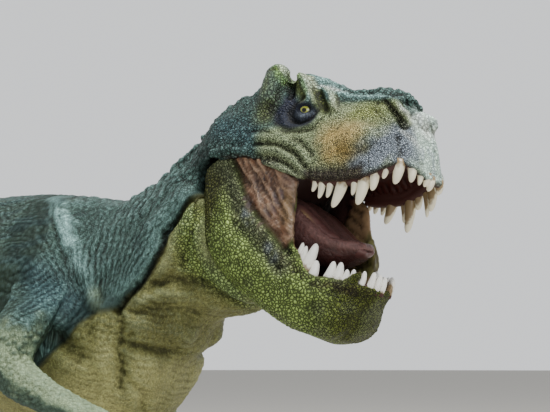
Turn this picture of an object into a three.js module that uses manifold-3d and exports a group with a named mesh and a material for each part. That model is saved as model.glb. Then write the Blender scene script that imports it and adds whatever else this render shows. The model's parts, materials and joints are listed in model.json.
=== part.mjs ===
// A painted tyrannosaurus figure with a hinged lower jaw, standing on two feet.
//
// Units are millimetres. +X is forward, along the trunk towards the snout, +Y is the animal's left
// and +Z is up. The origin is on the ground under the middle of the figure.
//
// The skull is drawn in its own frame: x forward along the upper lip, y to the left, z up, with the
// jaw hinge at the origin. headPose turns and lifts that frame onto the neck. The lower jaw is drawn
// the same way, as if shut, and jawPose then swings it open about the hinge.

import * as THREE from "three";
import { mergeVertices } from "three/addons/utils/BufferGeometryUtils.js";
import Module from "manifold-3d";

const wasm = await Module();
wasm.setup();

// ---- driving dimensions ----

const GAP = 0.3; // clearance between neighbouring mouldings
const GROUND_SHIFT = 109; // how far forward of the figure's middle the jaw hinge lies
const SIDE_SHIFT = -3.9; // how far left of the figure's middle the hinge lies
const HINGE_HEIGHT = 108;
const HEAD_YAW = -12; // degrees, the snout turned to the animal's right
const HEAD_PITCH = -6; // degrees, the snout lifted
const HEAD_ROLL = -4.2; // degrees, the crown leaning to the animal's left
const JAW_OPEN = 42.9; // degrees between the lip lines as the figure stands
const JAW_CLOSING = 25; // degrees that the jaw swings up from there
const TRUNK_MIDDLE = 4; // the trunk's middle across, from the hinge
const TAIL_ROOT = -150; // where the tail moulding is glued on
const TAIL_TIP = -270;

// ---- frames ----

const degrees = THREE.MathUtils.degToRad;

function turn(axis, angle) {
  return new THREE.Matrix4().makeRotationAxis(axis, degrees(angle));
}

const X = new THREE.Vector3(1, 0, 0);
const Y = new THREE.Vector3(0, 1, 0);
const Z = new THREE.Vector3(0, 0, 1);

const headPose = new THREE.Matrix4()
  .makeTranslation(0, 0, HINGE_HEIGHT)
  .multiply(turn(Z, HEAD_YAW))
  .multiply(turn(Y, HEAD_PITCH))
  .multiply(turn(X, HEAD_ROLL));

function jawPose(opening) {
  return headPose.clone().multiply(turn(Y, opening));
}

// ---- solids ----

// Makes a manifold-3d solid of a closed geometry, placed by a matrix.
function solid(geometry, matrix = new THREE.Matrix4()) {
  const bare = new THREE.BufferGeometry();
  bare.setAttribute("position", geometry.getAttribute("position").clone());
  bare.setIndex(geometry.index);
  bare.applyMatrix4(matrix);
  const merged = mergeVertices(bare, 1e-4);
  const mesh = new wasm.Mesh({
    numProp: 3,
    vertProperties: new Float32Array(merged.attributes.position.array),
    triVerts: new Uint32Array(merged.index.array),
  });
  return new wasm.Manifold(mesh);
}

function joined(solids) {
  return solids.reduce((whole, next) => whole.add(next));
}

// The biggest body of a solid, without the slivers that a cut may leave.
function mainBody(shape) {
  const bodies = shape.decompose();
  return bodies.reduce((best, next) => (next.volume() > best.volume() ? next : best));
}

function meshOf(name, shape, colour, roughness) {
  const made = mainBody(shape).getMesh();
  const geometry = new THREE.BufferGeometry();
  const points = new Float32Array(made.numVert * 3);
  for (let i = 0; i < made.numVert; i++) {
    for (let k = 0; k < 3; k++) points[i * 3 + k] = made.vertProperties[i * made.numProp + k];
  }
  geometry.setAttribute("position", new THREE.BufferAttribute(points, 3));
  geometry.setIndex(new THREE.BufferAttribute(new Uint32Array(made.triVerts), 1));
  geometry.computeVertexNormals();
  const material = new THREE.MeshStandardMaterial({ color: colour, roughness, metalness: 0 });
  const mesh = new THREE.Mesh(geometry, material);
  mesh.name = name;
  return mesh;
}

// A smooth line through [place, value] pairs, read at any place.
function line(pairs) {
  return (place) => {
    const last = pairs.length - 1;
    if (place <= pairs[0][0]) return pairs[0][1];
    if (place >= pairs[last][0]) return pairs[last][1];
    let i = 0;
    while (pairs[i + 1][0] < place) i++;
    const [x0, y0] = pairs[i];
    const [x1, y1] = pairs[i + 1];
    const slope = (a, b) => (pairs[b][1] - pairs[a][1]) / (pairs[b][0] - pairs[a][0]);
    const m0 = slope(Math.max(i - 1, 0), i + 1);
    const m1 = slope(i, Math.min(i + 2, last));
    const t = (place - x0) / (x1 - x0);
    const h = x1 - x0;
    const a = 2 * t ** 3 - 3 * t ** 2 + 1;
    const b = t ** 3 - 2 * t ** 2 + t;
    const c = 3 * t ** 2 - 2 * t ** 3;
    const d = t ** 3 - t ** 2;
    return a * y0 + b * h * m0 + c * y1 + d * h * m1;
  };
}

// Skins a row of closed rings, each with the same number of points, and closes both ends with a fan.
function skin(rings) {
  const count = rings[0].length;
  const points = rings.flat();
  const faces = [];
  for (let r = 0; r + 1 < rings.length; r++) {
    for (let i = 0; i < count; i++) {
      const a = r * count + i;
      const b = r * count + ((i + 1) % count);
      faces.push(a, b, a + count, b, b + count, a + count);
    }
  }
  for (const [ring, flip] of [[0, true], [rings.length - 1, false]]) {
    const centre = new THREE.Vector3();
    for (const p of rings[ring]) centre.addScaledVector(p, 1 / count);
    const hub = points.push(centre) - 1;
    for (let i = 0; i < count; i++) {
      const a = ring * count + i;
      const b = ring * count + ((i + 1) % count);
      if (flip) faces.push(hub, b, a);
      else faces.push(hub, a, b);
    }
  }
  const geometry = new THREE.BufferGeometry();
  const flat = points.flatMap((p) => [p.x, p.y, p.z]);
  geometry.setAttribute("position", new THREE.Float32BufferAttribute(flat, 3));
  geometry.setIndex(faces);
  return geometry;
}

function placesBetween(from, to, step) {
  const count = Math.max(2, Math.round((to - from) / step));
  return Array.from({ length: count + 1 }, (_, i) => from + ((to - from) * i) / count);
}

// A ring across X from half an outline, [y, z] from the bottom middle to the top middle.
function mirroredRing(x, half) {
  const right = half.map(([y, z]) => new THREE.Vector3(x, -y, z));
  const left = half.slice(1, -1).map(([y, z]) => new THREE.Vector3(x, y, z));
  return [...right.reverse(), ...left];
}

// A closed solid of elliptical sections along a curve. Each station is
// [x, y, z, radius across, radius up].
function limb(stations, sides = 10, rounds = 2) {
  const path = new THREE.CatmullRomCurve3(stations.map(([x, y, z]) => new THREE.Vector3(x, y, z)));
  const last = stations.length - 1;
  const across = line(stations.map((s, i) => [i / last, s[3]]));
  const up = line(stations.map((s, i) => [i / last, s[4]]));
  const rings = [];
  const count = last * rounds;
  for (let r = 0; r <= count; r++) {
    const t = r / count;
    const centre = path.getPoint(t);
    const tangent = path.getTangent(t);
    const side = Y.clone().addScaledVector(tangent, -tangent.y).normalize();
    const rise = new THREE.Vector3().crossVectors(tangent, side);
    rings.push(
      Array.from({ length: sides }, (_, i) => {
        const angle = (2 * Math.PI * i) / sides;
        return centre
          .clone()
          .addScaledVector(side, Math.max(across(t), 0.2) * Math.cos(angle))
          .addScaledVector(rise, Math.max(up(t), 0.2) * Math.sin(angle));
      }),
    );
  }
  return skin(rings);
}

// A curved, pointed cone: a tooth or a claw, from its root to its tip.
function spike(root, tip, radius, bow = new THREE.Vector3(), sides = 4) {
  const middle = root.clone().lerp(tip, 0.5).add(bow);
  const path = new THREE.QuadraticBezierCurve3(root, middle, tip);
  const along = tip.clone().sub(root).normalize();
  const side = new THREE.Vector3().crossVectors(along, Math.abs(along.x) > 0.8 ? Z : X).normalize();
  const rise = new THREE.Vector3().crossVectors(along, side);
  const shares = [[0, 0.95], [0.6, 0.78], [1, 0.14]];
  const rings = shares.map(([t, share]) =>
    Array.from({ length: sides }, (_, i) => {
      const angle = (2 * Math.PI * i) / sides;
      return path
        .getPoint(t)
        .addScaledVector(side, radius * share * Math.cos(angle))
        .addScaledVector(rise, radius * share * Math.sin(angle));
    }),
  );
  return skin(rings);
}

function ball(x, y, z, rx, ry, rz, detail = 6) {
  const geometry = new THREE.SphereGeometry(1, detail, Math.round(detail * 0.75));
  const matrix = new THREE.Matrix4().makeTranslation(x, y, z).scale(new THREE.Vector3(rx, ry, rz));
  return solid(geometry, matrix);
}

// ---- skull, in the head frame ----

const OCCIPUT = -20; // the back of the skull, inside the neck
const NOSE = 52.4; // the front of the snout

const skull = {
  crown: line([[OCCIPUT, 20], [-14, 26], [-8, 29.6], [2, 31.2], [10, 31.4], [18, 30.4], [24, 27.6], [30, 25.6],
    [35, 24.3], [40, 23.6], [43, 22.2], [46, 19.2], [48.6, 15.6], [50.8, 12], [NOSE, 6]]),
  brow: line([[OCCIPUT, 17], [-14, 23.4], [-8, 27.6], [2, 29.6], [10, 31.5], [18, 30.5], [24, 26.2], [29, 23.8],
    [33.6, 21.7], [38, 20.4], [43, 18.9], [46, 16.4], [48.6, 12.8], [50.8, 9], [NOSE, 4.5]]),
  browHalf: line([[OCCIPUT, 9], [-14, 11], [2, 11], [12, 11.5], [18, 10.4], [24, 9], [31, 8], [42, 7.6], [46, 6.6],
    [50, 4.2], [NOSE, 1.4]]),
  cheek: line([[OCCIPUT, 9], [-14, 13], [2, 15], [12, 14], [20, 11.5], [31, 9], [43, 6], [49, 3], [NOSE, 1]]),
  cheekHalf: line([[OCCIPUT, 14], [-12, 17.6], [-4, 19], [6, 18.8], [14, 17.6], [20, 16], [27, 15.4], [35, 14.4],
    [42, 12.4], [46, 10.4], [48.4, 8], [50.6, 5], [NOSE, 1.5]]),
  lip: line([[OCCIPUT, 9], [-10, 9.6], [-3, 10], [4, 8], [10, 4.7], [15, 1.8], [19, -0.6], [25, -2], [31, -3],
    [36, -3.4], [41, -2.2], [44.5, -1], [46.8, 0], [48.6, -1.4], [50.2, -3.4], [51.4, -5.4], [NOSE, -5]]),
  lipHalf: line([[OCCIPUT, 14], [-12, 17.6], [-4, 19], [6, 18.9], [14, 17.8], [20, 16.6], [27, 16.1], [33, 15.4],
    [38, 14.6], [43, 13], [46, 11.3], [48.2, 8.8], [50.2, 6], [51.4, 4], [NOSE, 1.6]]),
  palateRise: line([[OCCIPUT, 2], [10, 3], [20, 6], [43, 6], [49, 4], [NOSE, 1]]),
};

function skullRing(x) {
  const lip = skull.lip(x);
  const lipHalf = skull.lipHalf(x);
  const gumHalf = lipHalf - Math.min(3.6, lipHalf * 0.35);
  const palate = lip + skull.palateRise(x);
  const cheek = Math.max(skull.cheek(x), lip + 3);
  const brow = skull.brow(x);
  const cheekHalf = skull.cheekHalf(x);
  const browHalf = skull.browHalf(x);
  return mirroredRing(x, [
    [0, palate],
    [gumHalf * 0.7, palate - 0.6],
    [gumHalf, lip + 0.9],
    [lipHalf - 0.7, lip],
    [lipHalf, lip + 1.6],
    [cheekHalf, cheek],
    [cheekHalf * 0.62 + browHalf * 0.38, cheek * 0.45 + brow * 0.55],
    [browHalf, brow],
    [browHalf * 0.45, (brow + skull.crown(x)) / 2],
    [0, skull.crown(x)],
  ]);
}

// Upper teeth: [x along the lip, length on the right, length on the left, radius, rake of the tip backwards]
const UPPER_TEETH = [
  [22.8, 2.6, 2.6, 0.95, 0.7],
  [25, 3.9, 3.4, 1.15, 0.7],
  [27.4, 3.7, 3.8, 1.05, 0.7],
  [31.2, 6.3, 6.4, 1.75, 2.8],
  [34.2, 3.6, 6.4, 1.05, 0.3],
  [37, 5.9, 9.4, 1.8, 1.9],
  [39.6, 4, 4.6, 1.4, 0.3],
  [42.4, 2.6, 8.2, 1.15, 0.3],
  [45.4, 4.3, 8, 1.65, 1],
  [47.8, 3.4, 4, 1.4, -0.2],
  [49.4, 3.2, 3.4, 1.05, 0.2],
  [50.6, 3.2, 3.2, 1.25, 0.6],
  [51.5, 2.6, 2.6, 1.25, 0.7],
];

function upperTeeth() {
  const teeth = [];
  for (const side of [-1, 1]) {
    for (const [x, rightLength, leftLength, radius, rake] of UPPER_TEETH) {
      const length = side < 0 ? rightLength : leftLength;
      const half = Math.max(skull.lipHalf(x) - 1.6, 1.2);
      const root = new THREE.Vector3(x, side * half, skull.lip(x) + 2.6);
      const tip = new THREE.Vector3(x - rake, side * (half + 0.2), skull.lip(x) - length);
      teeth.push(solid(spike(root, tip, radius, new THREE.Vector3(0.5, 0, 0)), headPose));
    }
  }
  return teeth;
}

// Knobs on the skull: [x, y, z, half sizes], mirrored to both sides.
const SKULL_KNOBS = [
  [9.5, 10.6, 33, 4, 2.6, 3.8], // horn behind the eye
  [8.5, 13, 27, 3.2, 2.4, 5], // boss under that horn
  [18.3, 9.4, 29.8, 2.4, 2.2, 3], // crest in front of the eye
  [25.6, 8, 24.4, 3.2, 2, 2.2], // ridge on the snout
  [41.5, 4.5, 19.8, 3.6, 2.8, 1.9], // knob over the nostril
  [49.4, 2.4, 11.6, 2.1, 2.1, 2.4], // tip of the nose
];

function skullSolid() {
  const rings = [...placesBetween(OCCIPUT, 43, 4.8), ...placesBetween(45.2, NOSE, 1.8)].map(skullRing);
  const knobs = [];
  for (const [x, y, z, rx, ry, rz] of SKULL_KNOBS) {
    for (const side of [-1, 1]) knobs.push(ball(x, side * y, z, rx, ry, rz).transform(headPose.elements));
  }
  return joined([solid(skin(rings), headPose), ...knobs]);
}

// ---- lower jaw, in the jaw frame, shut ----

const DRUM = 14.6; // radius of the jaw's round back end, about the hinge
const CHIN = 46.8; // the front of the lower lip

const jaw = {
  top: line([[-DRUM, 0], [-13.4, 5.8], [-9.6, 11], [-4, 14], [0, DRUM], [6, 14.6], [12, 14], [15.5, 10], [18.5, 3.5],
    [21.5, -1.6], [25.5, -4], [29.5, -6], [32.5, -5.4], [36.5, -2.8], [40.6, -1], [43.8, 0.6], [CHIN, 1.6]]),
  bottom: line([[-DRUM, -4], [-11, -11], [-6, -18], [-1, -22], [5, -23.8], [14, -24], [26, -23.4], [33, -22.2],
    [39, -19.8], [43.4, -16.4], [CHIN, -9.6]]),
  upperHalf: line([[-DRUM, 16.2], [-4, 16.9], [6, 16.6], [14, 15.6], [20, 14.4], [26, 13.4], [32, 12.5], [37, 11.2],
    [41, 9.2], [44.4, 6.2], [CHIN, 2.6]]),
  lowerHalf: line([[-DRUM, 15.6], [-6, 17.4], [2, 18.4], [10, 18.2], [20, 16.4], [28, 14.6], [35, 12], [41, 9.4],
    [44.4, 6.6], [CHIN, 3.2]]),
};

function jawRing(x) {
  const top = jaw.top(x);
  const bottom = jaw.bottom(x);
  const upper = jaw.upperHalf(x);
  const lower = jaw.lowerHalf(x);
  const shoulder = Math.min(top - 0.5, -1.5);
  const tall = shoulder - bottom;
  return mirroredRing(x, [
    [0, bottom],
    [lower * 0.56, bottom + tall * 0.04],
    [lower * 0.92, bottom + tall * 0.22],
    [lower, bottom + tall * 0.55],
    [upper + 0.4, shoulder - tall * 0.1],
    [upper, top - 0.6],
    [upper - 0.9, top],
    [0, top],
  ]);
}

const mouth = {
  floor: line([[7.6, -4], [14, -9], [24, -11.5], [34, -9.5], [40, -6], [44, -2.5]]),
  half: line([[7.6, 13.8], [14, 13.2], [20, 12], [26, 10.9], [32, 10], [37, 8.6], [41, 6.4], [44, 3.4]]),
};

function mouthRing(x) {
  const floor = mouth.floor(x);
  const half = mouth.half(x);
  return mirroredRing(x, [
    [0, floor],
    [half * 0.7, floor + 0.8],
    [half, floor + 4],
    [half, 30],
    [0, 30],
  ]);
}

// The tongue: a thick slab with a hollow along its middle, its tip lifted.
const tongue = {
  middle: line([[6, 3], [12, 5], [18, 5.4], [25, 4.6], [31, 5], [36, 6.6]]),
  thick: line([[6, 12], [14, 13], [22, 11], [28, 7], [33, 3.6], [36, 1.6]]),
  half: line([[6, 9], [14, 9], [22, 8.4], [29, 7.4], [34, 5], [36, 2.6]]),
};

function tongueRing(x) {
  const edge = tongue.middle(x) + 1.6;
  const half = tongue.half(x);
  const under = tongue.middle(x) - tongue.thick(x);
  return mirroredRing(x, [
    [0, under],
    [half * 0.75, under + 0.5],
    [half, edge - 1.8],
    [half * 0.86, edge],
    [half * 0.45, tongue.middle(x) + 0.4],
    [0, tongue.middle(x)],
  ]);
}

// Lower teeth: [x along the lip, length, radius, rake of the tip backwards]
const LOWER_TEETH = [
  [23.6, 4.4, 1, 0.4],
  [25.2, 5.4, 1.05, 0.6],
  [27.9, 7, 1.75, 0.9],
  [31, 4.6, 1.55, 1.6],
  [34.4, 5.4, 1.5, 1.2],
  [36.8, 4, 1.45, 1.6],
  [38.8, 2.8, 1.15, 1.2],
  [40.4, 3.2, 1.15, 1.2],
  [42.2, 3.4, 1.1, 1.2],
  [43.8, 3.6, 1.15, 1.2],
  [45, 3.4, 1.15, 1.1],
  [46, 3.2, 1.1, 1],
];

function lowerTeeth(pose) {
  const teeth = [];
  for (const side of [-1, 1]) {
    for (const [x, length, radius, rake] of LOWER_TEETH) {
      const half = Math.max(jaw.upperHalf(x) - 1.7, 1.2);
      const root = new THREE.Vector3(x, side * half, jaw.top(x) - 2.2);
      const tip = new THREE.Vector3(x - rake, side * (half - 0.3), jaw.top(x) + length);
      teeth.push(solid(spike(root, tip, radius, new THREE.Vector3(0.3, 0, 0)), pose));
    }
  }
  return teeth;
}

function jawShell(pose, step, grow = 0) {
  const widen = new THREE.Matrix4().makeScale(1 + grow / 25, 1 + grow / 16, 1 + grow / 14);
  const rings = placesBetween(-DRUM, CHIN, step).map(jawRing);
  return solid(skin(rings), pose.clone().multiply(widen));
}

function jawSolid() {
  const pose = jawPose(JAW_OPEN);
  const hollow = solid(skin(placesBetween(7.6, 44, 4.2).map(mouthRing)), pose);
  const tongueSolid = solid(skin(placesBetween(6, 36, 4).map(tongueRing)), pose);
  const chin = ball(42.6, 0, -10, 5, 6.4, 6.4).transform(pose.elements);
  return joined([jawShell(pose, 4.6).subtract(hollow), tongueSolid, chin, ...lowerTeeth(pose)]);
}

// The space that the lower jaw sweeps as it swings, a little bigger than the jaw all round.
function jawSweep() {
  const drum = new THREE.CylinderGeometry(DRUM + 0.8, DRUM + 0.8, 34.6, 24);
  const swings = placesBetween(JAW_OPEN - JAW_CLOSING, JAW_OPEN, 8.4);
  return joined([solid(drum, headPose), ...swings.map((swing) => jawShell(jawPose(swing), 5, GAP * 2.4))]);
}

// ---- neck and trunk, upright sections along X ----

const trunk = {
  back: line([[-270, 89], [-262, 89.6], [-245, 90], [-225, 92.5], [-205, 96.5], [-185, 101.5], [-165, 107],
    [-150, 111], [-138, 114], [-124, 115.8], [-110, 116.4], [-98, 115.8], [-82, 116], [-72, 115.2], [-64, 114.4],
    [-58, 113.4], [-52, 111.8], [-48, 112.3], [-43.5, 114.3], [-38.4, 116.9], [-32.6, 120.8], [-27, 125.4],
    [-22, 129.4], [-15, 132.6], [-8, 127], [-2, 120]]),
  belly: line([[-270, 87], [-262, 85], [-245, 81.5], [-225, 80], [-205, 79.5], [-185, 78], [-165, 74.5], [-150, 70],
    [-138, 65], [-124, 59], [-110, 53], [-96, 47.5], [-82, 44], [-68, 42], [-56, 41], [-48, 41.8], [-42, 43.5],
    [-38.4, 45.5], [-36, 48], [-34.4, 50.8], [-32.6, 55], [-31.4, 60], [-29.4, 63.2], [-26.4, 64.6], [-24.4, 66.6],
    [-23, 70], [-21.6, 73.4], [-18.5, 75.2], [-9, 76.4], [-2, 79]]),
  half: line([[-270, 1], [-262, 2.2], [-245, 3.6], [-225, 5.4], [-205, 7.6], [-185, 10], [-165, 13], [-150, 16],
    [-138, 19], [-124, 22.5], [-110, 24.5], [-96, 26], [-82, 27.5], [-68, 28], [-56, 27.5], [-46, 26], [-38, 24.5],
    [-30, 22], [-22, 19.5], [-15, 17.5], [-8, 14.5], [-2, 11]]),
  bend: line([[-270, -16], [-245, -7], [-205, -0.5], [-150, 0], [-2, 0]]),
};

const TRUNK_SIDES = 16;
const CHEST_FRONT = [-44.6, -41, -38, -35.8, -34, -32.4, -31.2, -29.2, -26.6, -24.6, -23, -21.4, -18.8];
const trunkPlaces = [...placesBetween(TAIL_ROOT, -49, 8), ...CHEST_FRONT, -15.6, -12.4, -9, -5.5, -2];

function trunkRing(x, grow = 0) {
  const back = trunk.back(x) + grow;
  const belly = trunk.belly(x) - grow;
  const half = trunk.half(x) + grow;
  const widest = belly + (back - belly) * 0.46;
  const middle = TRUNK_MIDDLE + trunk.bend(x);
  return Array.from({ length: TRUNK_SIDES }, (_, i) => {
    const angle = (2 * Math.PI * i) / TRUNK_SIDES;
    const side = Math.sin(angle);
    const rise = Math.cos(angle);
    const narrowing = rise > 0 ? 1 - 0.2 * rise ** 2 : 1;
    const z = rise > 0 ? widest + (back - widest) * rise : widest + (widest - belly) * rise;
    return new THREE.Vector3(x, middle - half * narrowing * side, z);
  });
}

function trunkSolid(places, grow = 0) {
  return solid(skin(places.map((x) => trunkRing(x, grow))));
}

// ---- arms and legs ----

// Shoulder, elbow, wrist and hand of each arm as if on the right: [x, y, z, half across, half up].
const RIGHT_ARM = [
  [-62, -17, 95, 4, 6],
  [-63.5, -21, 88, 7.4, 9.8],
  [-64.5, -25, 79, 7.8, 8.8],
  [-66, -29, 70, 6.8, 7.4],
  [-67, -31, 62, 6.2, 6.8],
  [-58, -31.6, 55.6, 5.4, 5.6],
  [-45, -30.6, 50, 4.4, 4],
  [-36, -29.6, 47.4, 3.6, 2.8],
];

const LEFT_ARM = [
  ...RIGHT_ARM.slice(0, 4),
  [-68.5, -30.6, 61.5, 6.2, 6.4],
  [-62, -31, 53.6, 5, 5],
  [-55, -30.4, 46, 4, 3.8],
  [-52, -29.8, 41, 3.4, 2.8],
];

// The two fingers of a hand, [knuckle, middle, claw tip] from the last point of the arm.
const FINGERS = [
  [[0, -1.8, 0.6], [7.4, -2.6, -2], [10, -2.8, -8]],
  [[0, 1.6, -0.4], [6.4, 2.6, -4.2], [7.4, 2.8, -10.2]],
];

// The right side, -1, as drawn, or its mirror image on the left, 1.
function onSide(points, side) {
  return points.map(([x, y, ...rest]) => [x, TRUNK_MIDDLE - side * (y - TRUNK_MIDDLE), ...rest]);
}

function armSolid(stations, side, body) {
  const [handX, handY, handZ] = stations[stations.length - 1];
  const fingers = FINGERS.flatMap((finger) => {
    const placed = finger.map(([x, y, z]) => [handX + x, handY + y, handZ + z]);
    const [knuckle, middle, claw] = onSide(placed, side).map((p) => new THREE.Vector3(...p));
    const bone = limb([
      [...knuckle.toArray(), 1.9, 1.9],
      [...knuckle.clone().lerp(middle, 0.5).toArray(), 1.7, 1.7],
      [...middle.toArray(), 1.5, 1.5],
    ], 6, 1);
    const bow = new THREE.Vector3(1.6, 0, 0.6);
    return [solid(bone), solid(spike(middle, claw, 1.25, bow))];
  });
  const arm = solid(limb(onSide(stations, side), 8));
  return joined([arm, ...fingers]).subtract(body);
}

// Right leg from hip to heel: [x, y, z, half across, half up or along].
const RIGHT_LEG = [
  [-126, -9, 100, 10, 18],
  [-122, -18, 91, 13, 20],
  [-112, -23, 77, 12.5, 17],
  [-103, -24.5, 64, 10.5, 12.5],
  [-102, -24.5, 54, 8.6, 10],
  [-109, -24, 42, 7, 9.6],
  [-116, -23.5, 31, 5.6, 6.6],
  [-116, -23.5, 24, 5.4, 6],
  [-110, -24, 14, 5.6, 5.8],
  [-105, -24, 5, 6.6, 7],
];

const LEFT_STRIDE = 24; // the left foot stands this far ahead of the right one
const HIP_HEIGHT = 95;
const ANKLE_HEIGHT = 24;

// The left leg is the right one mirrored, with its lower part carried forward.
function strideForward([x, y, z, across, up]) {
  const share = THREE.MathUtils.clamp((HIP_HEIGHT - z) / (HIP_HEIGHT - ANKLE_HEIGHT), 0, 1) ** 1.5;
  return [x + LEFT_STRIDE * share, y, z, across, up];
}

// Toes from the foot: [end x, end y, half width], with the foot's middle at 0.
const TOES = [
  [24, -11, 4.6],
  [29, 0, 5],
  [24, 11, 4.6],
];

function legSolid(side, body) {
  const ahead = side > 0 ? strideForward : (station) => station;
  const stations = onSide(RIGHT_LEG.map(ahead), side);
  const [footX, footY] = stations[stations.length - 1];
  const parts = [solid(limb(stations, 9))];
  for (const [toeX, toeY, half] of TOES) {
    const end = [footX + toeX, footY + toeY];
    const toe = limb([
      [footX - 5, footY, 5.5, half + 0.6, 6],
      [footX + toeX * 0.35, footY + toeY * 0.5, 5, half, 5.6],
      [footX + toeX * 0.75, footY + toeY * 0.85, 3.8, half * 0.92, 4.4],
      [...end, 3, half * 0.6, 3],
    ], 8, 1);
    const root = new THREE.Vector3(...end, 3.4);
    const tip = new THREE.Vector3(footX + toeX * 1.32, footY + toeY * 1.2, 0.8);
    parts.push(solid(toe), solid(spike(root, tip, 2.1, new THREE.Vector3(0, 0, 2))));
  }
  const spurRoot = new THREE.Vector3(footX - 6, footY - side * 3, 11);
  const spurTip = new THREE.Vector3(footX - 9.5, footY - side * 8, 7);
  parts.push(solid(spike(spurRoot, spurTip, 1.8)));
  const ground = new THREE.BoxGeometry(400, 400, 40);
  const under = solid(ground, new THREE.Matrix4().makeTranslation(footX, footY, -20));
  return joined(parts).subtract(under).subtract(body);
}

// ---- the figure ----

function build() {
  const hide = 0x4f6a4a;
  const body = joined([trunkSolid(trunkPlaces), skullSolid()]).subtract(jawSweep());
  const around = trunkSolid(trunkPlaces.slice(0, -9), GAP);
  const figure = new THREE.Group();
  figure.add(
    meshOf("body", joined([body, ...upperTeeth()]), hide, 0.55),
    meshOf("lower_jaw", jawSolid(), 0x6f8a3a, 0.5),
    meshOf("tail", trunkSolid(placesBetween(TAIL_TIP, TAIL_ROOT - GAP, 10)), hide, 0.55),
    meshOf("right_arm", armSolid(RIGHT_ARM, -1, around), 0x9aa57e, 0.55),
    meshOf("left_arm", armSolid(LEFT_ARM, 1, around), 0x9aa57e, 0.55),
    meshOf("right_leg", legSolid(-1, around), hide, 0.55),
    meshOf("left_leg", legSolid(1, around), hide, 0.55),
  );
  figure.position.set(GROUND_SHIFT, SIDE_SHIFT, 0);
  return figure;
}

const figure = build();

export default figure;
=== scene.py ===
# %% [markdown]
# ## A painted tyrannosaurus figure
#
# The figure is about 322 mm long. It is moulded in soft plastic and painted by hand, so the skin is
# one surface with scales, wrinkles and horns pressed into it, and the paint runs over all of them.
# This lesson first opens the measured model, then works the skin as a modeller in clay would: rough
# clay, smoothed, extra clay for the horns and lips, then tools drawn across it, and paint last.

# %% Open the measured model
import json
import math
import random

import bpy
import numpy as np
from mathutils import Matrix, Vector, noise
from mathutils.bvhtree import BVHTree

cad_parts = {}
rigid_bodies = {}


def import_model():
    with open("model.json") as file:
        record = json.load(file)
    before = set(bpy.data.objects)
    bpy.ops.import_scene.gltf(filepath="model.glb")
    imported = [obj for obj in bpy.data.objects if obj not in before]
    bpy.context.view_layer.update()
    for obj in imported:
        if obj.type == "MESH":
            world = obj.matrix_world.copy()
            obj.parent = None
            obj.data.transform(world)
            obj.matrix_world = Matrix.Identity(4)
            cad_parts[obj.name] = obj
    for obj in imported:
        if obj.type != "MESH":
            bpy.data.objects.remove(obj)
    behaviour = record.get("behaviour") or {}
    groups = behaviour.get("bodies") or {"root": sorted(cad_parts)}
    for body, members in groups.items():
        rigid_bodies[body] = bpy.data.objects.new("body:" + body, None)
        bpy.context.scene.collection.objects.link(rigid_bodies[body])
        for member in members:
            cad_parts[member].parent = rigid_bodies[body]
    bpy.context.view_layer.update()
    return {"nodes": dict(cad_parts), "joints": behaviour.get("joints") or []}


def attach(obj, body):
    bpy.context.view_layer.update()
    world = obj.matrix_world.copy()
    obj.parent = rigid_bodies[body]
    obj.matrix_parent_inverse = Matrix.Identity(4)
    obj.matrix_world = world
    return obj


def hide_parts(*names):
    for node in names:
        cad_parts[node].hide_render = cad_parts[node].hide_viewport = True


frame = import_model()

MM = 0.001
jaw_hinge = frame["joints"][0]
HINGE = np.array(jaw_hinge["pos_m"]) / MM
print("the jaw hinge is at", HINGE.round(1), "mm")

# %% [markdown]
# ### Three frames to measure in
# The head is turned and lifted on the neck and the jaw hangs open, so horns and teeth are easier to
# place in the head's own frame: x along the upper lip, y to the animal's left, z up, with the hinge
# at the origin. The jaw has the same kind of frame, turned open. The trunk's frame is level, under
# the hinge and in the middle of the trunk. All three are in millimetres.

# %% Frames of the head, the jaw and the trunk
HEAD_YAW, HEAD_PITCH, HEAD_ROLL, JAW_OPEN = -12, -6, -4.2, 42.9


def turned(axis, degrees):
    """The 3 by 3 matrix of a turn about an axis."""
    return np.array(Matrix.Rotation(math.radians(degrees), 3, axis))


HEAD = turned("Z", HEAD_YAW) @ turned("Y", HEAD_PITCH) @ turned("X", HEAD_ROLL)
JAW = HEAD @ turned("Y", JAW_OPEN)
TRUNK_PLACE = np.array([HINGE[0], 0.1, 0.0])


def in_frame(points, turn):
    """Points of the model, in millimetres, as seen in a frame at the hinge."""
    return (points - HINGE) @ turn


def from_frame(points, turn):
    """Points of a frame at the hinge, back in the model."""
    return np.atleast_2d(np.asarray(points, float)) @ turn.T + HINGE


def paired(points):
    """Both sides of the head or the trunk laid onto the right side, where y is negative."""
    return points * [1, 0, 1] - np.abs(points) * [0, 1, 0]


print("the snout points along", (HEAD @ [1, 0, 0]).round(2))

# %% [markdown]
# ### The camera
# It stands a little below the head, in front of the figure and to its right, and looks slightly up.

# %% Camera
CAMERA_PLACE = Vector((0.2354, -0.29774, 0.06402))
CAMERA_LOOK = Vector((-0.3909, 0.9107, 0.1335))
CAMERA_LENS = 74.05

camera = bpy.data.objects.new("camera", bpy.data.cameras.new("camera"))
bpy.context.scene.collection.objects.link(camera)
camera.location = CAMERA_PLACE
camera.rotation_euler = CAMERA_LOOK.to_track_quat("-Z", "Y").to_euler()
camera.data.lens = CAMERA_LENS
camera.data.sensor_width = 36
camera.data.clip_start = 0.01
camera.data.clip_end = 20
bpy.context.scene.camera = camera
print("camera", tuple(round(v, 3) for v in camera.location))

# %% [markdown]
# ### Small helpers for working in Blender
# An operator works on what is selected, so each helper first selects its own piece and nothing else.

# %% Selecting, modifiers and clay
def take(piece, *more):
    """Selects a piece, and others with it, and makes it the active one."""
    bpy.ops.object.select_all(action="DESELECT")
    for other in more:
        other.select_set(True)
    piece.select_set(True)
    bpy.context.view_layer.objects.active = piece
    return piece


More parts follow.
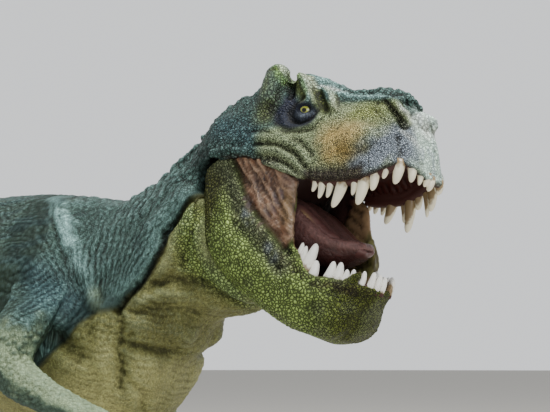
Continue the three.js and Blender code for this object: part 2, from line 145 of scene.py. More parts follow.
def modified(piece, kind, **settings):
    """Adds a modifier with those settings and applies it."""
    modifier = take(piece).modifiers.new(kind.lower(), kind)
    for setting, value in settings.items():
        setattr(modifier, setting, value)
    bpy.ops.object.modifier_apply(modifier=modifier.name)
    return piece


def remeshed(piece, voxel):
    """One even skin of small squares around everything in the piece; voxel is in millimetres."""
    return modified(piece, "REMESH", mode="VOXEL", voxel_size=voxel * MM, use_smooth_shade=True)


def smoothed(piece, rounds):
    return modified(piece, "SMOOTH", factor=0.5, iterations=rounds)


def clay_from(node, name):
    """A copy of a measured solid, its loose triangles merged, ready to be worked."""
    piece = bpy.data.objects.new(name, frame["nodes"][node].data.copy())
    bpy.context.scene.collection.objects.link(piece)
    piece.data.name = name
    piece.data.materials.clear()
    take(piece)
    bpy.ops.object.mode_set(mode="EDIT")
    bpy.ops.mesh.select_all(action="SELECT")
    bpy.ops.mesh.remove_doubles(threshold=1e-6)
    bpy.ops.object.mode_set(mode="OBJECT")
    return piece


def joined(piece, others):
    """Others become part of the piece."""
    take(piece, *others)
    bpy.ops.object.join()
    return piece


def rod(path, radii, turn):
    """A round rod of clay along a smooth line of frame points, thick or thin as radii say."""
    curve = bpy.data.curves.new("rod", "CURVE")
    curve.dimensions = "3D"
    curve.bevel_depth = 1
    curve.bevel_resolution = 3
    curve.use_fill_caps = True
    curve.resolution_u = 6
    spline = curve.splines.new("BEZIER")
    spline.bezier_points.add(len(path) - 1)
    for point, place, radius in zip(spline.bezier_points, from_frame(path, turn), radii):
        point.co = place * MM
        point.radius = radius * MM
        point.handle_left_type = point.handle_right_type = "AUTO"
    made = bpy.data.objects.new("rod", curve)
    bpy.context.scene.collection.objects.link(made)
    take(made)
    bpy.ops.object.convert(target="MESH")
    return made


def lump(place, radius, turn, stretch=(1, 1, 1)):
    """A ball of clay at a frame point."""
    bpy.ops.mesh.primitive_ico_sphere_add(subdivisions=3, radius=radius * MM)
    made = bpy.context.object
    points = np.array([v.co for v in made.data.vertices]) / MM * stretch + place
    made.data.vertices.foreach_set("co", (from_frame(points, turn) * MM).ravel())
    return made


def mirrored(path):
    return [(x, -y, z) for x, y, z in path]


# %% [markdown]
# ### Carving and painting tools
# A Skin keeps a piece's points as one table of numbers, so that a tool can be drawn across all of
# them at once. A stroke is a line of points with a width: the skin near it is pushed out or in, or
# takes its paint, and the effect fades to nothing at the width.

# %% The skin and its tools
class Skin:
    """The points of a piece, in millimetres, while it is carved and painted."""

    def __init__(self, piece):
        self.piece = piece
        self.read()
        self.paint = np.zeros((len(self.points), 3))
        self.crest = np.zeros((len(self.points), 4))
        self.grain = np.zeros((len(self.points), 4))
        self.flow = self.points.copy()

    def read(self):
        mesh = self.piece.data
        count = len(mesh.vertices)
        places = np.empty(count * 3, np.float32)
        normals = np.empty(count * 3, np.float32)
        mesh.vertices.foreach_get("co", places)
        mesh.vertex_normals.foreach_get("vector", normals)
        self.points = places.reshape(-1, 3).astype(float) / MM
        self.normals = normals.reshape(-1, 3).astype(float)

    def push(self, heights):
        """Moves each point along its normal by its height in millimetres."""
        moved = self.points + self.normals * heights[:, None]
        mesh = self.piece.data
        mesh.vertices.foreach_set("co", (moved * MM).astype(np.float32).ravel())
        mesh.update()
        self.read()

    def brush(self, weight, colour, strength=1.0):
        """Mixes a colour in, by a weight from 0 to 1 at each point."""
        share = np.clip(weight * strength, 0, 1)[:, None]
        self.paint += (np.array(PAINTS[colour]) - self.paint) * share

    def dry_brush(self, weight, colour, strength=0.5):
        """Sets the paint, and how much of it, that the material leaves on the tops of the scales."""
        share = np.clip(weight, 0, 1)[:, None]
        self.crest += (np.array([*PAINTS[colour], strength]) - self.crest) * share

    def relief(self, rounds):
        """How far each point stands above the skin around it, in millimetres."""
        mesh = self.piece.data
        edges = np.empty(len(mesh.edges) * 2, np.int32)
        mesh.edges.foreach_get("vertices", edges)
        a, b = edges.reshape(-1, 2).T
        count = len(self.points)
        links = np.bincount(a, minlength=count) + np.bincount(b, minlength=count)
        level = self.points
        for _ in range(rounds):
            around = [
                np.bincount(a, level[b, k], count) + np.bincount(b, level[a, k], count) for k in range(3)
            ]
            level = np.stack(around, axis=1) / links[:, None]
        return ((self.points - level) * self.normals).sum(1)

    def keep(self):
        """Writes the paint, the grain and the flow to the mesh, where the material reads them."""
        mesh = self.piece.data
        opaque = np.ones((len(self.points), 1))
        rows = (
            ("paint", "FLOAT_COLOR", "color", np.hstack([np.clip(self.paint, 0, 1), opaque])),
            ("crest", "FLOAT_COLOR", "color", np.clip(self.crest, 0, 1)),
            ("grain", "FLOAT_COLOR", "color", np.clip(self.grain, 0, 1)),
            ("flow", "FLOAT_VECTOR", "vector", self.flow),
        )
        for name, kind, field, values in rows:
            attribute = mesh.attributes.new(name, kind, "POINT")
            attribute.data.foreach_set(field, values.astype(np.float32).ravel())


def soft(value):
    """0 to 1, with a gentle start and end."""
    value = np.clip(value, 0, 1)
    return value * value * (3 - 2 * value)


def ramp(value, start, end):
    """0 at start, 1 at end, soft in between."""
    return soft((value - start) / (end - start))


def stroke(places, path, width):
    """1 on the line through the path's points, fading to 0 at the width."""
    path = np.atleast_2d(np.asarray(path, float))
    weight = np.zeros(len(places))
    near = np.all((places > path.min(0) - width) & (places < path.max(0) + width), axis=1)
    some = places[near]
    best = np.full(len(some), np.inf)
    for a, b in zip(path, path[1:] if len(path) > 1 else path):
        along = b - a
        length = along @ along
        share = np.clip((some - a) @ along / length, 0, 1) if length else np.zeros(len(some))
        best = np.minimum(best, np.linalg.norm(some - a - share[:, None] * along, axis=1))
    weight[near] = soft(1 - best / width)
    return weight


def relief_of(places, strokes):
    """The heights that strokes of (height, width, path) give together."""
    heights = np.zeros(len(places))
    for height, width, path in strokes:
        heights += height * stroke(places, path, width)
    return heights


def cloud(places, size, seed=0.0):
    """Soft random values from -1 to 1 that change over that size, in millimetres."""
    return np.array([noise.noise(Vector(p)) for p in places / size + seed])


def cells(places, size):
    """0 in the grooves between random cells of that size, rising to about 1 on their tops."""
    edges = np.array([noise.voronoi(Vector(p))[0][:2] for p in places / size])
    return np.clip((edges[:, 1] - edges[:, 0]) * 1.6, 0, 1)


# %% [markdown]
# ### The paints
# Acrylics mixed for this figure: teal over the back, olive on the cheeks, green on the jaw, cream
# below, and the dark and pale mixes that are washed into the wrinkles and brushed over them, and
# that are also laid on as painted shade and painted highlights.

# %% Paints
PAINTS = {
    "teal_dark": (0.011, 0.028, 0.026),
    "teal": (0.034, 0.07, 0.058),
    "teal_blue": (0.035, 0.085, 0.11),
    "pale_blue": (0.27, 0.47, 0.45),
    "green_grey": (0.06, 0.1, 0.07),
    "cream": (0.47, 0.46, 0.19),
    "throat_olive": (0.19, 0.195, 0.065),
    "throat_painted_shadow": (0.1, 0.1, 0.03),
    "dark_olive_and_painted_shade": (0.03, 0.03, 0.008),
    "cheek_olive": (0.3, 0.37, 0.19),
    "cheek_light": (0.68, 0.74, 0.48),
    "ochre": (0.58, 0.4, 0.12),
    "ochre_light": (0.8, 0.62, 0.26),
    "leaf": (0.27, 0.32, 0.07),
    "lavender": (0.25, 0.3, 0.36),
    "lavender_light": (0.6, 0.66, 0.74),
    "nose_pale": (0.5, 0.66, 0.57),
    "white": (0.85, 0.92, 0.86),
    "lip_dark_and_painted_shade": (0.05, 0.032, 0.022),
    "indigo": (0.009, 0.012, 0.027),
    "lime": (0.2, 0.36, 0.05),
    "crest_cream": (0.55, 0.62, 0.4),
    "horn_olive": (0.075, 0.095, 0.035),
    "blade_olive": (0.13, 0.165, 0.055),
    "jaw_green": (0.23, 0.32, 0.085),
    "jaw_light": (0.34, 0.48, 0.16),
    "jaw_grey": (0.13, 0.155, 0.075),
    "jaw_olive": (0.06, 0.07, 0.006),
    "jaw_brown": (0.055, 0.055, 0.012),
    "membrane": (0.18, 0.08, 0.038),
    "membrane_pale_and_painted_highlight": (0.5, 0.34, 0.22),
    "membrane_ochre": (0.19, 0.105, 0.025),
    "mauve": (0.12, 0.052, 0.048),
    "mauve_light": (0.2, 0.1, 0.09),
    "palate_and_painted_shade": (0.035, 0.006, 0.004),
    "mouth_painted_shade": (0.006, 0.003, 0.003),
    "arm_pale": (0.28, 0.37, 0.22),
    "ivory": (0.86, 0.81, 0.62),
    "tooth_white": (0.95, 0.94, 0.88),
    "root_brown": (0.25, 0.18, 0.09),
    "gum": (0.045, 0.009, 0.006),
    "claw": (0.1, 0.085, 0.05),
}
print(len(PAINTS), "paints")

# %% [markdown]
# ### The lines of the skull and the jaw
# A few lines say where the lips and the crown run. The teeth, the gums and the paint follow them.

# %% Lines of the head
def line(*pairs):
    """Heights between [place, height] pairs."""
    places, heights = zip(*pairs)
    return lambda x: np.interp(x, places, heights)


upper_lip = line(
    (-20, 9), (-10, 9.6), (-3, 10), (4, 8), (10, 4.7), (15, 1.8), (19, -0.6), (25, -2), (31, -3), (36, -3.4),
    (41, -2.2), (44.5, -1), (46.8, 0), (48.6, -1.4), (50.2, -3.4), (51.4, -5.4), (52.4, -5),
)
upper_half = line(
    (-20, 14), (-12, 17.6), (-4, 19), (6, 18.9), (14, 17.8), (20, 16.6), (27, 16.1), (33, 15.4), (38, 14.6),
    (43, 13), (46, 11.3), (48.2, 8.8), (50.2, 6), (51.4, 4), (52.4, 1.6),
)
crown = line(
    (-20, 20), (-14, 26), (-8, 29.6), (2, 31.2), (10, 31.4), (18, 30.4), (24, 27.6), (30, 25.6), (35, 24.3),
    (40, 23.6), (43, 22.2), (46, 19.2), (48.6, 15.6), (50.8, 12), (52.4, 6),
)
lower_lip = line(
    (-14.6, 0), (-9.6, 11), (0, 14.6), (12, 14), (15.5, 10), (18.5, 3.5), (21.5, -1.6), (25.5, -4),
    (29.5, -6), (32.5, -5.4), (36.5, -2.8), (40.6, -1), (43.8, 0.6), (46.8, 1.6),
)
lower_half = line(
    (-14.6, 16.2), (-4, 16.9), (6, 16.6), (14, 15.6), (20, 14.4), (26, 13.4), (32, 12.5), (37, 11.2),
    (41, 9.2), (44.4, 6.2), (46.8, 2.6),
)


def facing_out(skin, turn, half):
    """How squarely each point faces away from the middle, across the outline that half draws."""
    places = in_frame(skin.points, turn)
    normals = skin.normals @ turn
    slope = half(places[:, 0] + 0.5) - half(places[:, 0] - 0.5)
    across = normals[:, 1] * np.sign(places[:, 1]) - normals[:, 0] * slope
    return across / np.hypot(1, slope)


print("the mouth is", round(float(upper_lip(46.8) - lower_lip(46.8)), 1), "mm deep at the front, shut")

# %% [markdown]
# ### Rough clay for the body
# The measured solid has flat facets and plain spikes for teeth. The spikes are pressed back into the
# lip, because each tooth is made again as a piece of its own. Then a voxel remesh gives an even skin,
# and smoothing melts the facets.

# %% Body clay
ROUGH_VOXEL = 1.0
SKIN_VOXEL = 0.56
GUM_VOXEL = 0.4


def teeth_pressed_in(piece, turn, lip, inner, up):
    """Presses the tooth spikes of a copied solid back to just inside its lip."""
    skin = Skin(piece)
    places = in_frame(skin.points, turn)
    beyond = (places[:, 2] - lip(places[:, 0])) * up > 0.5
    row = (np.abs(places[:, 1]) > inner(places[:, 0]) - 3.4) & (places[:, 0] > 19.6)
    chosen = beyond & row
    places[chosen, 2] = lip(places[chosen, 0]) - 0.9 * up
    mesh = piece.data
    mesh.vertices.foreach_set("co", (from_frame(places, turn) * MM).ravel())
    mesh.update()
    return int(chosen.sum())


body_hide = clay_from("body", "body_hide")
pressed = teeth_pressed_in(body_hide, HEAD, upper_lip, upper_half, -1)
smoothed(remeshed(body_hide, ROUGH_VOXEL), 8)
print(pressed, "spike points pressed in;", len(body_hide.data.polygons), "squares of skin")

# %% [markdown]
# ### More clay for the head
# The horn behind the eye, the blade in front of it, the ridges of the snout, the knobs of the crown,
# the eyelids and the rolled lips are laid on as rods and lumps. A finer remesh takes them into the
# skin.

# %% Horns, ridges, knobs, lids and lips
HEAD_RODS = [
    # the horn behind the eye and the column under it
    ([(9.2, -14.6, 20), (9.8, -13.6, 25), (10.6, -12, 30), (10.8, -11.2, 32.4)], [2.4, 3.4, 3.8, 3.4]),
    ([(7.6, -10.4, 32.6), (10.4, -10.8, 34.2), (13.4, -11.2, 32.8), (15, -11.8, 29.8)], [1.8, 2.1, 1.7, 0.9]),
    # the blade in front of the eye
    ([(17.2, -10.2, 31.4), (19, -10.8, 29.4), (20.8, -11.6, 26), (22.6, -12.8, 22.8), (24.6, -13.8, 19.8)],
     [1.3, 1.5, 1.5, 1.4, 1]),
    ([(16.6, -9.8, 28.6), (18.4, -10.8, 26), (20, -11.6, 23.6)], [1.6, 1.8, 1.4]),
    # the short ridge before it
    ([(24, -9.2, 26), (26.2, -10, 24.4), (27.8, -11.4, 21.4), (29.6, -13, 17.8)], [1.1, 1.4, 1.4, 0.8]),
    # the rim along the top of the snout, down to the nostril
    ([(24.6, -7.6, 25.6), (29, -7.8, 23.4), (33.6, -7.8, 21.4), (38, -7.7, 20.2), (43, -7.6, 18.6),
      (45.6, -7.7, 16.4), (47.4, -7.9, 13.4)], [0.9, 1, 1, 1, 1.1, 1.1, 0.8]),
    # the upper lip
    ([(20, -15.4, 0.8), (25, -15.2, -0.7), (31, -14.6, -1.7), (36, -14, -2.1), (41, -12.6, -0.9),
      (45, -10.8, 0.4), (46.8, -9.6, 1.1)], [0.9, 1.2, 1.3, 1.3, 1.3, 1.2, 1]),
    ([(46.8, -9.6, 1.1), (48.4, -7.8, -0.2), (50, -5.4, -2), (51, -3, -3.8)], [1, 1.2, 1.2, 1.2]),
    # the crescent of skin that edges the slit behind the mouth
    ([(8.6, -17, 6.8), (12, -17.2, 5.2), (15, -17, 3.7), (17.8, -16.4, 2.2), (20.2, -15.4, 0.2)],
     [0.9, 1.1, 1.3, 1.2, 0.9]),
    ([(7, -16.4, 10), (12, -16.4, 8.2), (16.8, -15.8, 5.2), (20.2, -15, 2)], [1.6, 2, 2, 1.6]),
    ([(-6, -16.4, 11.4), (1, -16.6, 11), (7, -16.2, 9.4), (12, -15.8, 7.4)], [1.5, 1.9, 1.9, 1.6]),
    ([(2, -16.2, 13), (8, -16.4, 12), (13, -16.2, 11), (17, -15.6, 9.4)], [1.5, 1.9, 1.9, 1.6]),
    # the roof of the skull between the blades
    ([(16.6, -7.4, 30.6), (17.2, -4, 31.2), (17.4, 0, 31.4)], [2.2, 2.4, 2.4]),
    ([(20.6, -7.4, 28.6), (21, -4, 29.4), (21.2, 0, 29.6)], [2, 2.2, 2.2]),
    ([(24.4, -6.4, 26.2), (24.8, -3, 27), (25, 0, 27.2)], [1.8, 2, 2]),
    # the eyelids
    ([(17.9, -14, 19.3), (19, -14, 21), (21, -13.8, 21.3), (23, -13.2, 20.5), (23.5, -12.8, 19.4)],
     [0.5, 0.8, 1, 0.8, 0.5]),
    ([(17.9, -14, 19.3), (18.9, -14.3, 17.5), (20.8, -14.1, 16.9), (22.8, -13.4, 17.7), (23.5, -12.8, 19.4)],
     [0.5, 0.65, 0.7, 0.65, 0.5]),
]
# where the neck meets the back of the jaw: x from the hinge, y and height of the model
JAW_SEAM = [(-17, -15.4, 107), (-17.2, -16, 103), (-17, -16.2, 99), (-16.4, -15.8, 95.6), (-14.6, -15, 92),
            (-13, -13.8, 89), (-10.6, -12.6, 86.4), (-7.6, -11, 84), (-4.6, -8.6, 81.6)]
head_clay = []
for path, radii in HEAD_RODS:
    head_clay += [rod(path, radii, HEAD), rod(mirrored(path), radii, HEAD)]
head_clay.append(rod([(51, -3, -3.8), (51.5, 0, -4.3), (51, 3, -3.8)], [1.2, 1.2, 1.2], HEAD))

random.seed(5)
for x in np.arange(24.5, 46.6, 2.3):
    for side in (-1, 1):
        for y in (1.6, 4.9):
            radius = random.uniform(1.2, 1.7) + 0.5 * math.exp(-((x - 41) / 3.5) ** 2)
            height = crown(x) - 0.044 * y * y - radius * 0.25
            place = (x + random.uniform(-0.8, 0.8), side * y, height)
            head_clay.append(lump(place, radius, HEAD, (1.15, 1, 0.85)))
for side in (-1, 1):
    head_clay.append(lump((49.8, side * 2.2, 12.4), 2.5, HEAD))
    head_clay.append(lump((35, side * 11.6, 8), 5.4, HEAD, (1.3, 0.8, 1)))
clay_surface = BVHTree.FromObject(body_hide, bpy.context.evaluated_depsgraph_get())
DOWN = Vector(HEAD @ [0, 0, -1])
for x in np.arange(-44, 6, 3.1):
    for y in (-9, -5.4, -1.8, 1.8, 5.4, 9):
        radius = random.uniform(1.9, 2.7)
        above = (x + random.uniform(-1, 1), y + random.uniform(-0.8, 0.8), 60)
        hit = clay_surface.ray_cast(Vector(from_frame(above, HEAD)[0] * MM), DOWN)[0]
        place = in_frame(np.array(hit) / MM, HEAD) - [0, 0, radius * 0.45]
        head_clay.append(lump(place, radius, HEAD, (1, 1, 0.75)))

seam_path = [(x, y - HINGE[1], z - HINGE[2]) for x, y, z in JAW_SEAM]
head_clay.append(rod(seam_path, [1.2] + [1.9] * (len(JAW_SEAM) - 2) + [1.2], np.eye(3)))

joined(body_hide, head_clay)
remeshed(body_hide, SKIN_VOXEL)
smoothed(body_hide, 4)
print(len(head_clay), "pieces of clay on the head;", len(body_hide.data.polygons), "faces")

# %% [markdown]
# ### Carving the head
# The eye sits in a hollow under the horn and the blade, with loose folds of skin below it. More
# folds sweep from the slit behind the mouth to the corner of the lip, and the nostril is a curved
# groove with a pit at its lower end. Each stroke is a line seen from the side, cut into both cheeks.

# %% Eye hollow, folds and nostril
body = Skin(body_hide)
EYE = (20.7, -12.3, 19.5)
HEAD_HOLLOWS = [
    (-1.5, 6.5, [(12.6, 20.4), (18, 18.6)]),
    (-1.1, 4.4, [(15.8, 26), (18, 22.6)]),
    (0.8, 6, [(35, 7), (30, 6)]),
    (-0.6, 5, [(40.6, 14.6), (43.4, 13)]),
    (-0.5, 2.4, [(22.8, 26), (24.6, 22.4), (26.6, 18.6)]),
    (-2.2, 1.9, [(15.9, 31.4), (15.7, 28.6), (16, 25.8)]),
]
HEAD_FOLDS = [
    # folds round the eye
    (-0.45, 1, [(16.2, 20.6), (17.2, 17.4), (20, 16), (23, 16.4), (24.6, 18.4)]),
    (0.55, 1.2, [(14.6, 19), (16.6, 15.8), (20, 14.4), (23.6, 14.6), (25.8, 16.8)]),
    (-0.4, 1, [(13, 17.2), (16.4, 14), (20.4, 12.8), (24.2, 13)]),
    (0.5, 1.2, [(11.6, 15.6), (15.6, 12.6), (20, 11.2)]),
    # folds from the slit to the corner of the mouth
    (-0.55, 1.1, [(8, 8.1), (13.6, 6.6), (17.4, 4), (20, 1.4)]),
    (0.8, 1.7, [(8.2, 10), (14.4, 8.6), (18.8, 5), (21.2, 1)]),
    (-0.6, 1.1, [(7, 11.8), (13.4, 10.6), (18.6, 7.2), (21.8, 2.6)]),
    (0.5, 1.4, [(8, 13.6), (14, 12.4), (19.4, 9), (23, 4)]),
    (-0.45, 1.1, [(7, 15.6), (14.4, 14.2), (20.4, 10.4), (24, 5.6)]),
    # the nostril
    (-0.6, 1.1, [(43, 18), (44.8, 15.8), (46.6, 12.8), (47.8, 9.8)]),
    (-1, 1.6, [(46.8, 12), (47.5, 10.4)]),
    (0.7, 1.6, [(44.8, 17.6), (47.2, 14), (48.9, 10.6)]),
    (0.5, 1.5, [(41.6, 16.6), (43.8, 14), (45.6, 11)]),
    # the notch in the lip and the furrow above it
    (-0.7, 1.6, [(46.9, 0.6), (47, 3), (46.4, 7)]),
    # the edge of the skull behind the mouth
    (0.7, 1.8, [(-8, 12.4), (-2, 12.2), (4, 10.4)]),
]
head = paired(in_frame(body.points, HEAD))
flat = head[:, [0, 2]]
flank = ramp(-head[:, 1], 4, 6.5)
heights = relief_of(flat, HEAD_HOLLOWS + HEAD_FOLDS)
around_eye = np.linalg.norm(head - EYE, axis=1)
heights *= flank * ramp(around_eye, 2.9, 4.2)
body.push(heights)
head = paired(in_frame(body.points, HEAD))
x, y, z = head.T
over_lip = ramp(z - upper_lip(x), 0.3, 1.4) * (1 - ramp(z - upper_lip(x), 3, 5))
over_lip = over_lip * ramp(x, 20, 22) * (1 - ramp(x, 38, 41))
pleats = np.abs(np.sin(np.pi * (x + 0.35 * cloud(body.points, 3)) / 2.1)) - 0.6
body.push(0.5 * over_lip * pleats * flank)
print("folds on the head:", len(HEAD_FOLDS))

# %% [markdown]
# ### Carving the neck, the throat and the chest
# The skin of the neck hangs over the throat in a deep crease, and wrinkles fan out from a point low on
# the chest: down the side of the neck in front, up over the shoulder behind. A fan is easiest as an
# angle about that point, so the wrinkles are drawn as waves of the angle. The arms carry the same
# wrinkles, which then run on across their glued seams.

# %% Crease, ridges and wrinkles of the trunk
FAN = np.array([-42.0, 68.0])
NECK_PITCH, THROAT_PITCH, ARMPIT_PITCH = 2.9, 2.1, 2.3
CREASE = [(-19.4, 107.6), (-23, 102.2), (-26.4, 98.8), (-27, 93.8), (-29.6, 88.7), (-32.8, 84.6),
          (-36.8, 80.2), (-38.8, 76.8)]
CHEST_CREASE = [(-38.8, 77), (-37.8, 72.6), (-39.4, 67), (-39, 62.4), (-40.8, 56)]
SHOULDER = [(-72, 113), (-62.8, 104.5), (-57.1, 96.5), (-52.6, 91.7), (-48.4, 85.7), (-46, 80)]
UNDER_JAW = [(-37, 78.8), (-33.3, 82.9), (-28.8, 85.4), (-23.7, 86), (-18.2, 85.4), (-13.2, 81.9), (-8, 78.6)]
CHIN_SKIN = [(-18.6, 103), (-19.4, 96), (-18.6, 90), (-14, 86.6), (-8, 82)]
POUCH_FOOT = [(-37.6, 68.2), (-33.7, 67), (-30.8, 65.8), (-26, 65.2), (-22, 66)]
TRUNK_STROKES = [
    (1.5, 6, [(x - 3.4, z + 1.6) for x, z in CREASE[:7]]),
    (-1.7, 1.6, CREASE),
    (1.1, 2.6, [(-17.6, 109), (-20, 103), (-23.4, 97.6), (-25, 91.5), (-27.6, 87)]),
    (-0.7, 1.8, [(-15.4, 107), (-17.6, 101), (-20.4, 95), (-21.8, 89.6)]),
    (-1.1, 2.2, CHEST_CREASE),
    (1, 4, [(-43, 78), (-43.4, 70), (-44, 62)]),
    (1.2, 3.4, SHOULDER),
    (-1.1, 6, [(-59, 111), (-54, 102)]),
    (1.4, 9, [(-86, 98), (-76, 92)]),
    (-1.8, 5, [(-62, 72), (-56, 69), (-51, 65)]),
    (-1.3, 3.2, UNDER_JAW),
    (1.1, 3.4, [(-33, 79.6), (-28, 81.6), (-22, 81.4), (-17, 78.6)]),
    (-0.5, 2.4, [(-34.7, 76.8), (-30.3, 78.6), (-26.1, 78.6), (-22.4, 76.8)]),
    (1.4, 5, [(-34, 73), (-28, 72), (-24, 70.6)]),
    (-1.3, 2.4, POUCH_FOOT),
    (-0.9, 1.4, [(-36.2, 70.2), (-35.4, 70.9)]),
    (1.2, 5, [(-34, 62), (-36, 57), (-40, 52)]),
    (-0.8, 1.6, [(-39, 60), (-36, 55), (-38, 50)]),
]

border = line(
    (-270, 84), (-210, 83), (-150, 77), (-110, 72), (-80, 64), (-66, 60), (-58, 66), (-50, 74), (-44, 77),
    (-38.8, 77.4), (-36.8, 80.2), (-32.8, 84.6), (-29.6, 88.7), (-27, 94.5), (-23.4, 101.7), (-19.4, 107.6),
    (-14, 112),
)


def trunk_places(points):
    """Points of the trunk seen from the side, both sides laid together."""
    return paired(points - TRUNK_PLACE)


def fan_places(trunk):
    """How far across the fan of wrinkles each point is, and how far out, in millimetres."""
    offset = trunk[:, [0, 2]] - FAN
    angle = np.clip(np.arctan2(offset[:, 0], offset[:, 1]), -1.3, 1.6)
    return 40 * angle, np.hypot(offset[:, 0], offset[:, 1])


def off_head(points):
    """1 on the trunk and the neck, 0 on the head."""
    x, _, z = in_frame(points, HEAD).T
    return 1 - ramp(x, -15, -9) * ramp(z + 1.2 * np.clip(x, 0, 12), -2, 4)


def wrinkles(points):
    """Heights of the wrinkles on the neck, shoulder and chest, in millimetres."""
    trunk = trunk_places(points)
    across, reach = fan_places(trunk)
    slow, quick = cloud(points, 8), cloud(points, 3.2, 7)
    head_x, _, head_z = in_frame(points, HEAD).T
    off_nape = 1 - ramp(head_x, -24, -14) * ramp(head_z + 1.2 * np.clip(head_x, 0, 12), -4, 6)
    upper = ramp(trunk[:, 2] - border(trunk[:, 0]), -2, 2)
    before = ramp(trunk[:, 0], -76, -64) * off_nape * ramp(reach, 5, 12)
    lines = np.abs(np.sin(np.pi * (across + 2.6 * slow + 1.1 * quick) / NECK_PITCH)) - 0.62
    crossing = cells(np.stack([across / 1.1, reach / 1.9, trunk[:, 1] / 1.9], axis=1), 1.25) - 0.45
    neck = upper * before * (0.42 * lines * (0.8 + 1.2 * slow) + 0.2 * crossing)
    low = (1 - upper) * ramp(trunk[:, 0], -66, -54)
    rings = np.abs(np.sin(np.pi * (trunk[:, 2] + 2.2 * slow + 0.25 * trunk[:, 0]) / THROAT_PITCH)) - 0.62
    throat = low * (0.22 * rings * (0.8 + slow) + 0.2 * (cells(points * [0.8, 0.8, 1.4], 1.5) - 0.45))
    slant = (trunk[:, [0, 2]] @ [0.62, -0.78]) + 2 * slow + 0.8 * quick
    armpit = stroke(trunk[:, [0, 2]], [(-66, 88), (-58, 78), (-50, 77)], 13)
    folds = armpit * (0.22 * (np.abs(np.sin(np.pi * slant / ARMPIT_PITCH)) - 0.62) + 0.2 * crossing)
    swirls = np.abs(np.sin(np.pi * (5 * cloud(points * [0.6, 1, 1], 11, 1) + 0.5 * quick))) - 0.62
    pits = cells(points * [0.9, 1, 0.8], 1.6) - 0.45
    back = (1 - ramp(trunk[:, 0], -76, -64)) * (0.22 * swirls + 0.22 * pits + 0.2 * slow)
    return neck * (1 - armpit) + folds + throat + back


trunk = trunk_places(body.points)
side = trunk[:, [0, 2]]
heights = relief_of(side, TRUNK_STROKES)
beside_jaw = stroke(side, [(x - 0.6, z) for x, _, z in JAW_SEAM], 7) * ramp(-body.points[:, 1], 4, 9)
body.push((heights * ramp(-trunk[:, 1], 4, 9) + 2 * beside_jaw) * off_head(body.points))
body.push(wrinkles(body.points))

head = paired(in_frame(body.points, HEAD))
x, y, z = head.T
behind_eye = ramp(x, -34, -24) * (1 - ramp(x, 5, 9)) * ramp(z, 4, 8)
on_top = ramp(z - crown(x), -4.4, -2.4) * ramp(x, 16, 20)
bumps = cells(body.points, 1.9) - 0.4
body.push(0.42 * bumps * np.maximum(behind_eye, on_top) + 0.35 * behind_eye * cloud(body.points, 4.4, 5))
print("wrinkles and lumps on", len(body.points), "points")

# %% [markdown]
# ### Paint on the body
# The base coats go on in broad soft areas. Then a dark wash is left in everything that lies deep, and
# a nearly dry pale brush is drawn over everything that stands out, which is what makes carved skin
# read as skin. The relief of the skin itself says where both go.

# %% Wash and dry brush
def weathered(skin, pale, wash, brushed, where=1.0):
    """A dark wash in the hollows of the skin and a dry pale brush over its crests."""
    fine = skin.relief(2)
    broad = skin.relief(12)
    deep = ramp(-fine, 0.0, 0.07) * 0.6 + ramp(-broad, 0.03, 0.5) * 0.6
    high = ramp(fine, 0.01, 0.08) * 0.6 + ramp(broad, 0.04, 0.3) * 0.5
    skin.paint *= 1 - np.clip(deep * wash, 0, 0.85)[:, None] * [0.96, 0.96, 1]
    skin.brush(high * where, pale, brushed)


def trunk_coat(skin):
    """Teal above, olive and cream below, a painted highlight on the shoulder ridge, and painted shade under
    the jaw, in the armpit and on the back's upper faces.
    """
    trunk = trunk_places(skin.points)
    side = trunk[:, [0, 2]]
    mottle = cloud(skin.points, 7, 11)
    swirl = cloud(skin.points * [0.35, 1, 1], 2.6, 8)
    above = trunk[:, 2] - border(trunk[:, 0]) + mottle * 1.2
    skin.paint[:] = PAINTS["throat_olive"]
    skin.dry_brush(np.ones(len(side)), "cream", 0.25)
    skin.brush(ramp(-above, 2, 16) * ramp(-trunk[:, 0], 38, 44), "cream")
    skin.brush(stroke(side, [(-34, 60), (-37, 54)], 8), "cream", 0.7)
    # painted shadow on the throat under the jaw
    skin.brush(stroke(side, [(-31, 77), (-27, 73)], 8), "throat_painted_shadow", 0.75)
    upper = ramp(above, -0.6, 1.4)
    skin.brush(upper, "teal")
    skin.dry_brush(upper, "pale_blue", 0.22)
    behind = upper * ramp(-trunk[:, 0], 60, 70)
    skin.brush(behind, "green_grey")
    skin.dry_brush(behind, "pale_blue", 0.14)
    # painted shade: the back's upward faces are made darker, against the light from above
    skin.brush(behind * ramp(skin.normals[:, 2], 0.1, 0.7), "teal_dark", 0.45)
    skin.brush(behind * ramp(swirl, 0.0, 0.4), "teal_blue", 0.3)
    skin.brush(upper * ramp(mottle, 0.1, 0.5), "teal_dark", 0.5)
    skin.brush(stroke(side, [(-66, 88), (-60, 82), (-53, 79)], 9), "teal_blue", 0.6)
    # painted highlight: a pale stripe along the shoulder ridge, stronger higher up
    patchy = ramp(cloud(skin.points, 4, 9), -0.45, 0.25)
    rough_side = side + 1.5 * np.stack([cloud(skin.points, 2.6, 51), cloud(skin.points, 2.6, 53)], axis=1)
    fading = 0.35 + 0.65 * ramp(side[:, 1], 82, 100)
    skin.brush(stroke(rough_side, SHOULDER, 3.8) * (0.25 + 0.75 * patchy) * fading, "pale_blue", 1.05)
    nape = stroke(side, [(-66, 110), (-56, 109), (-48, 107)], 5)
    skin.brush(nape * ramp(swirl, 0, 0.25), "pale_blue", 0.15)
    skin.brush(stroke(side, [(-46, 82), (-44.6, 79)], 3.4), "arm_pale", 0.6)
    # painted shade in the hollow under the arm
    skin.brush(stroke(side, [(-64, 72), (-58, 70), (-53, 68)], 4), "dark_olive_and_painted_shade", 0.4)
    return upper


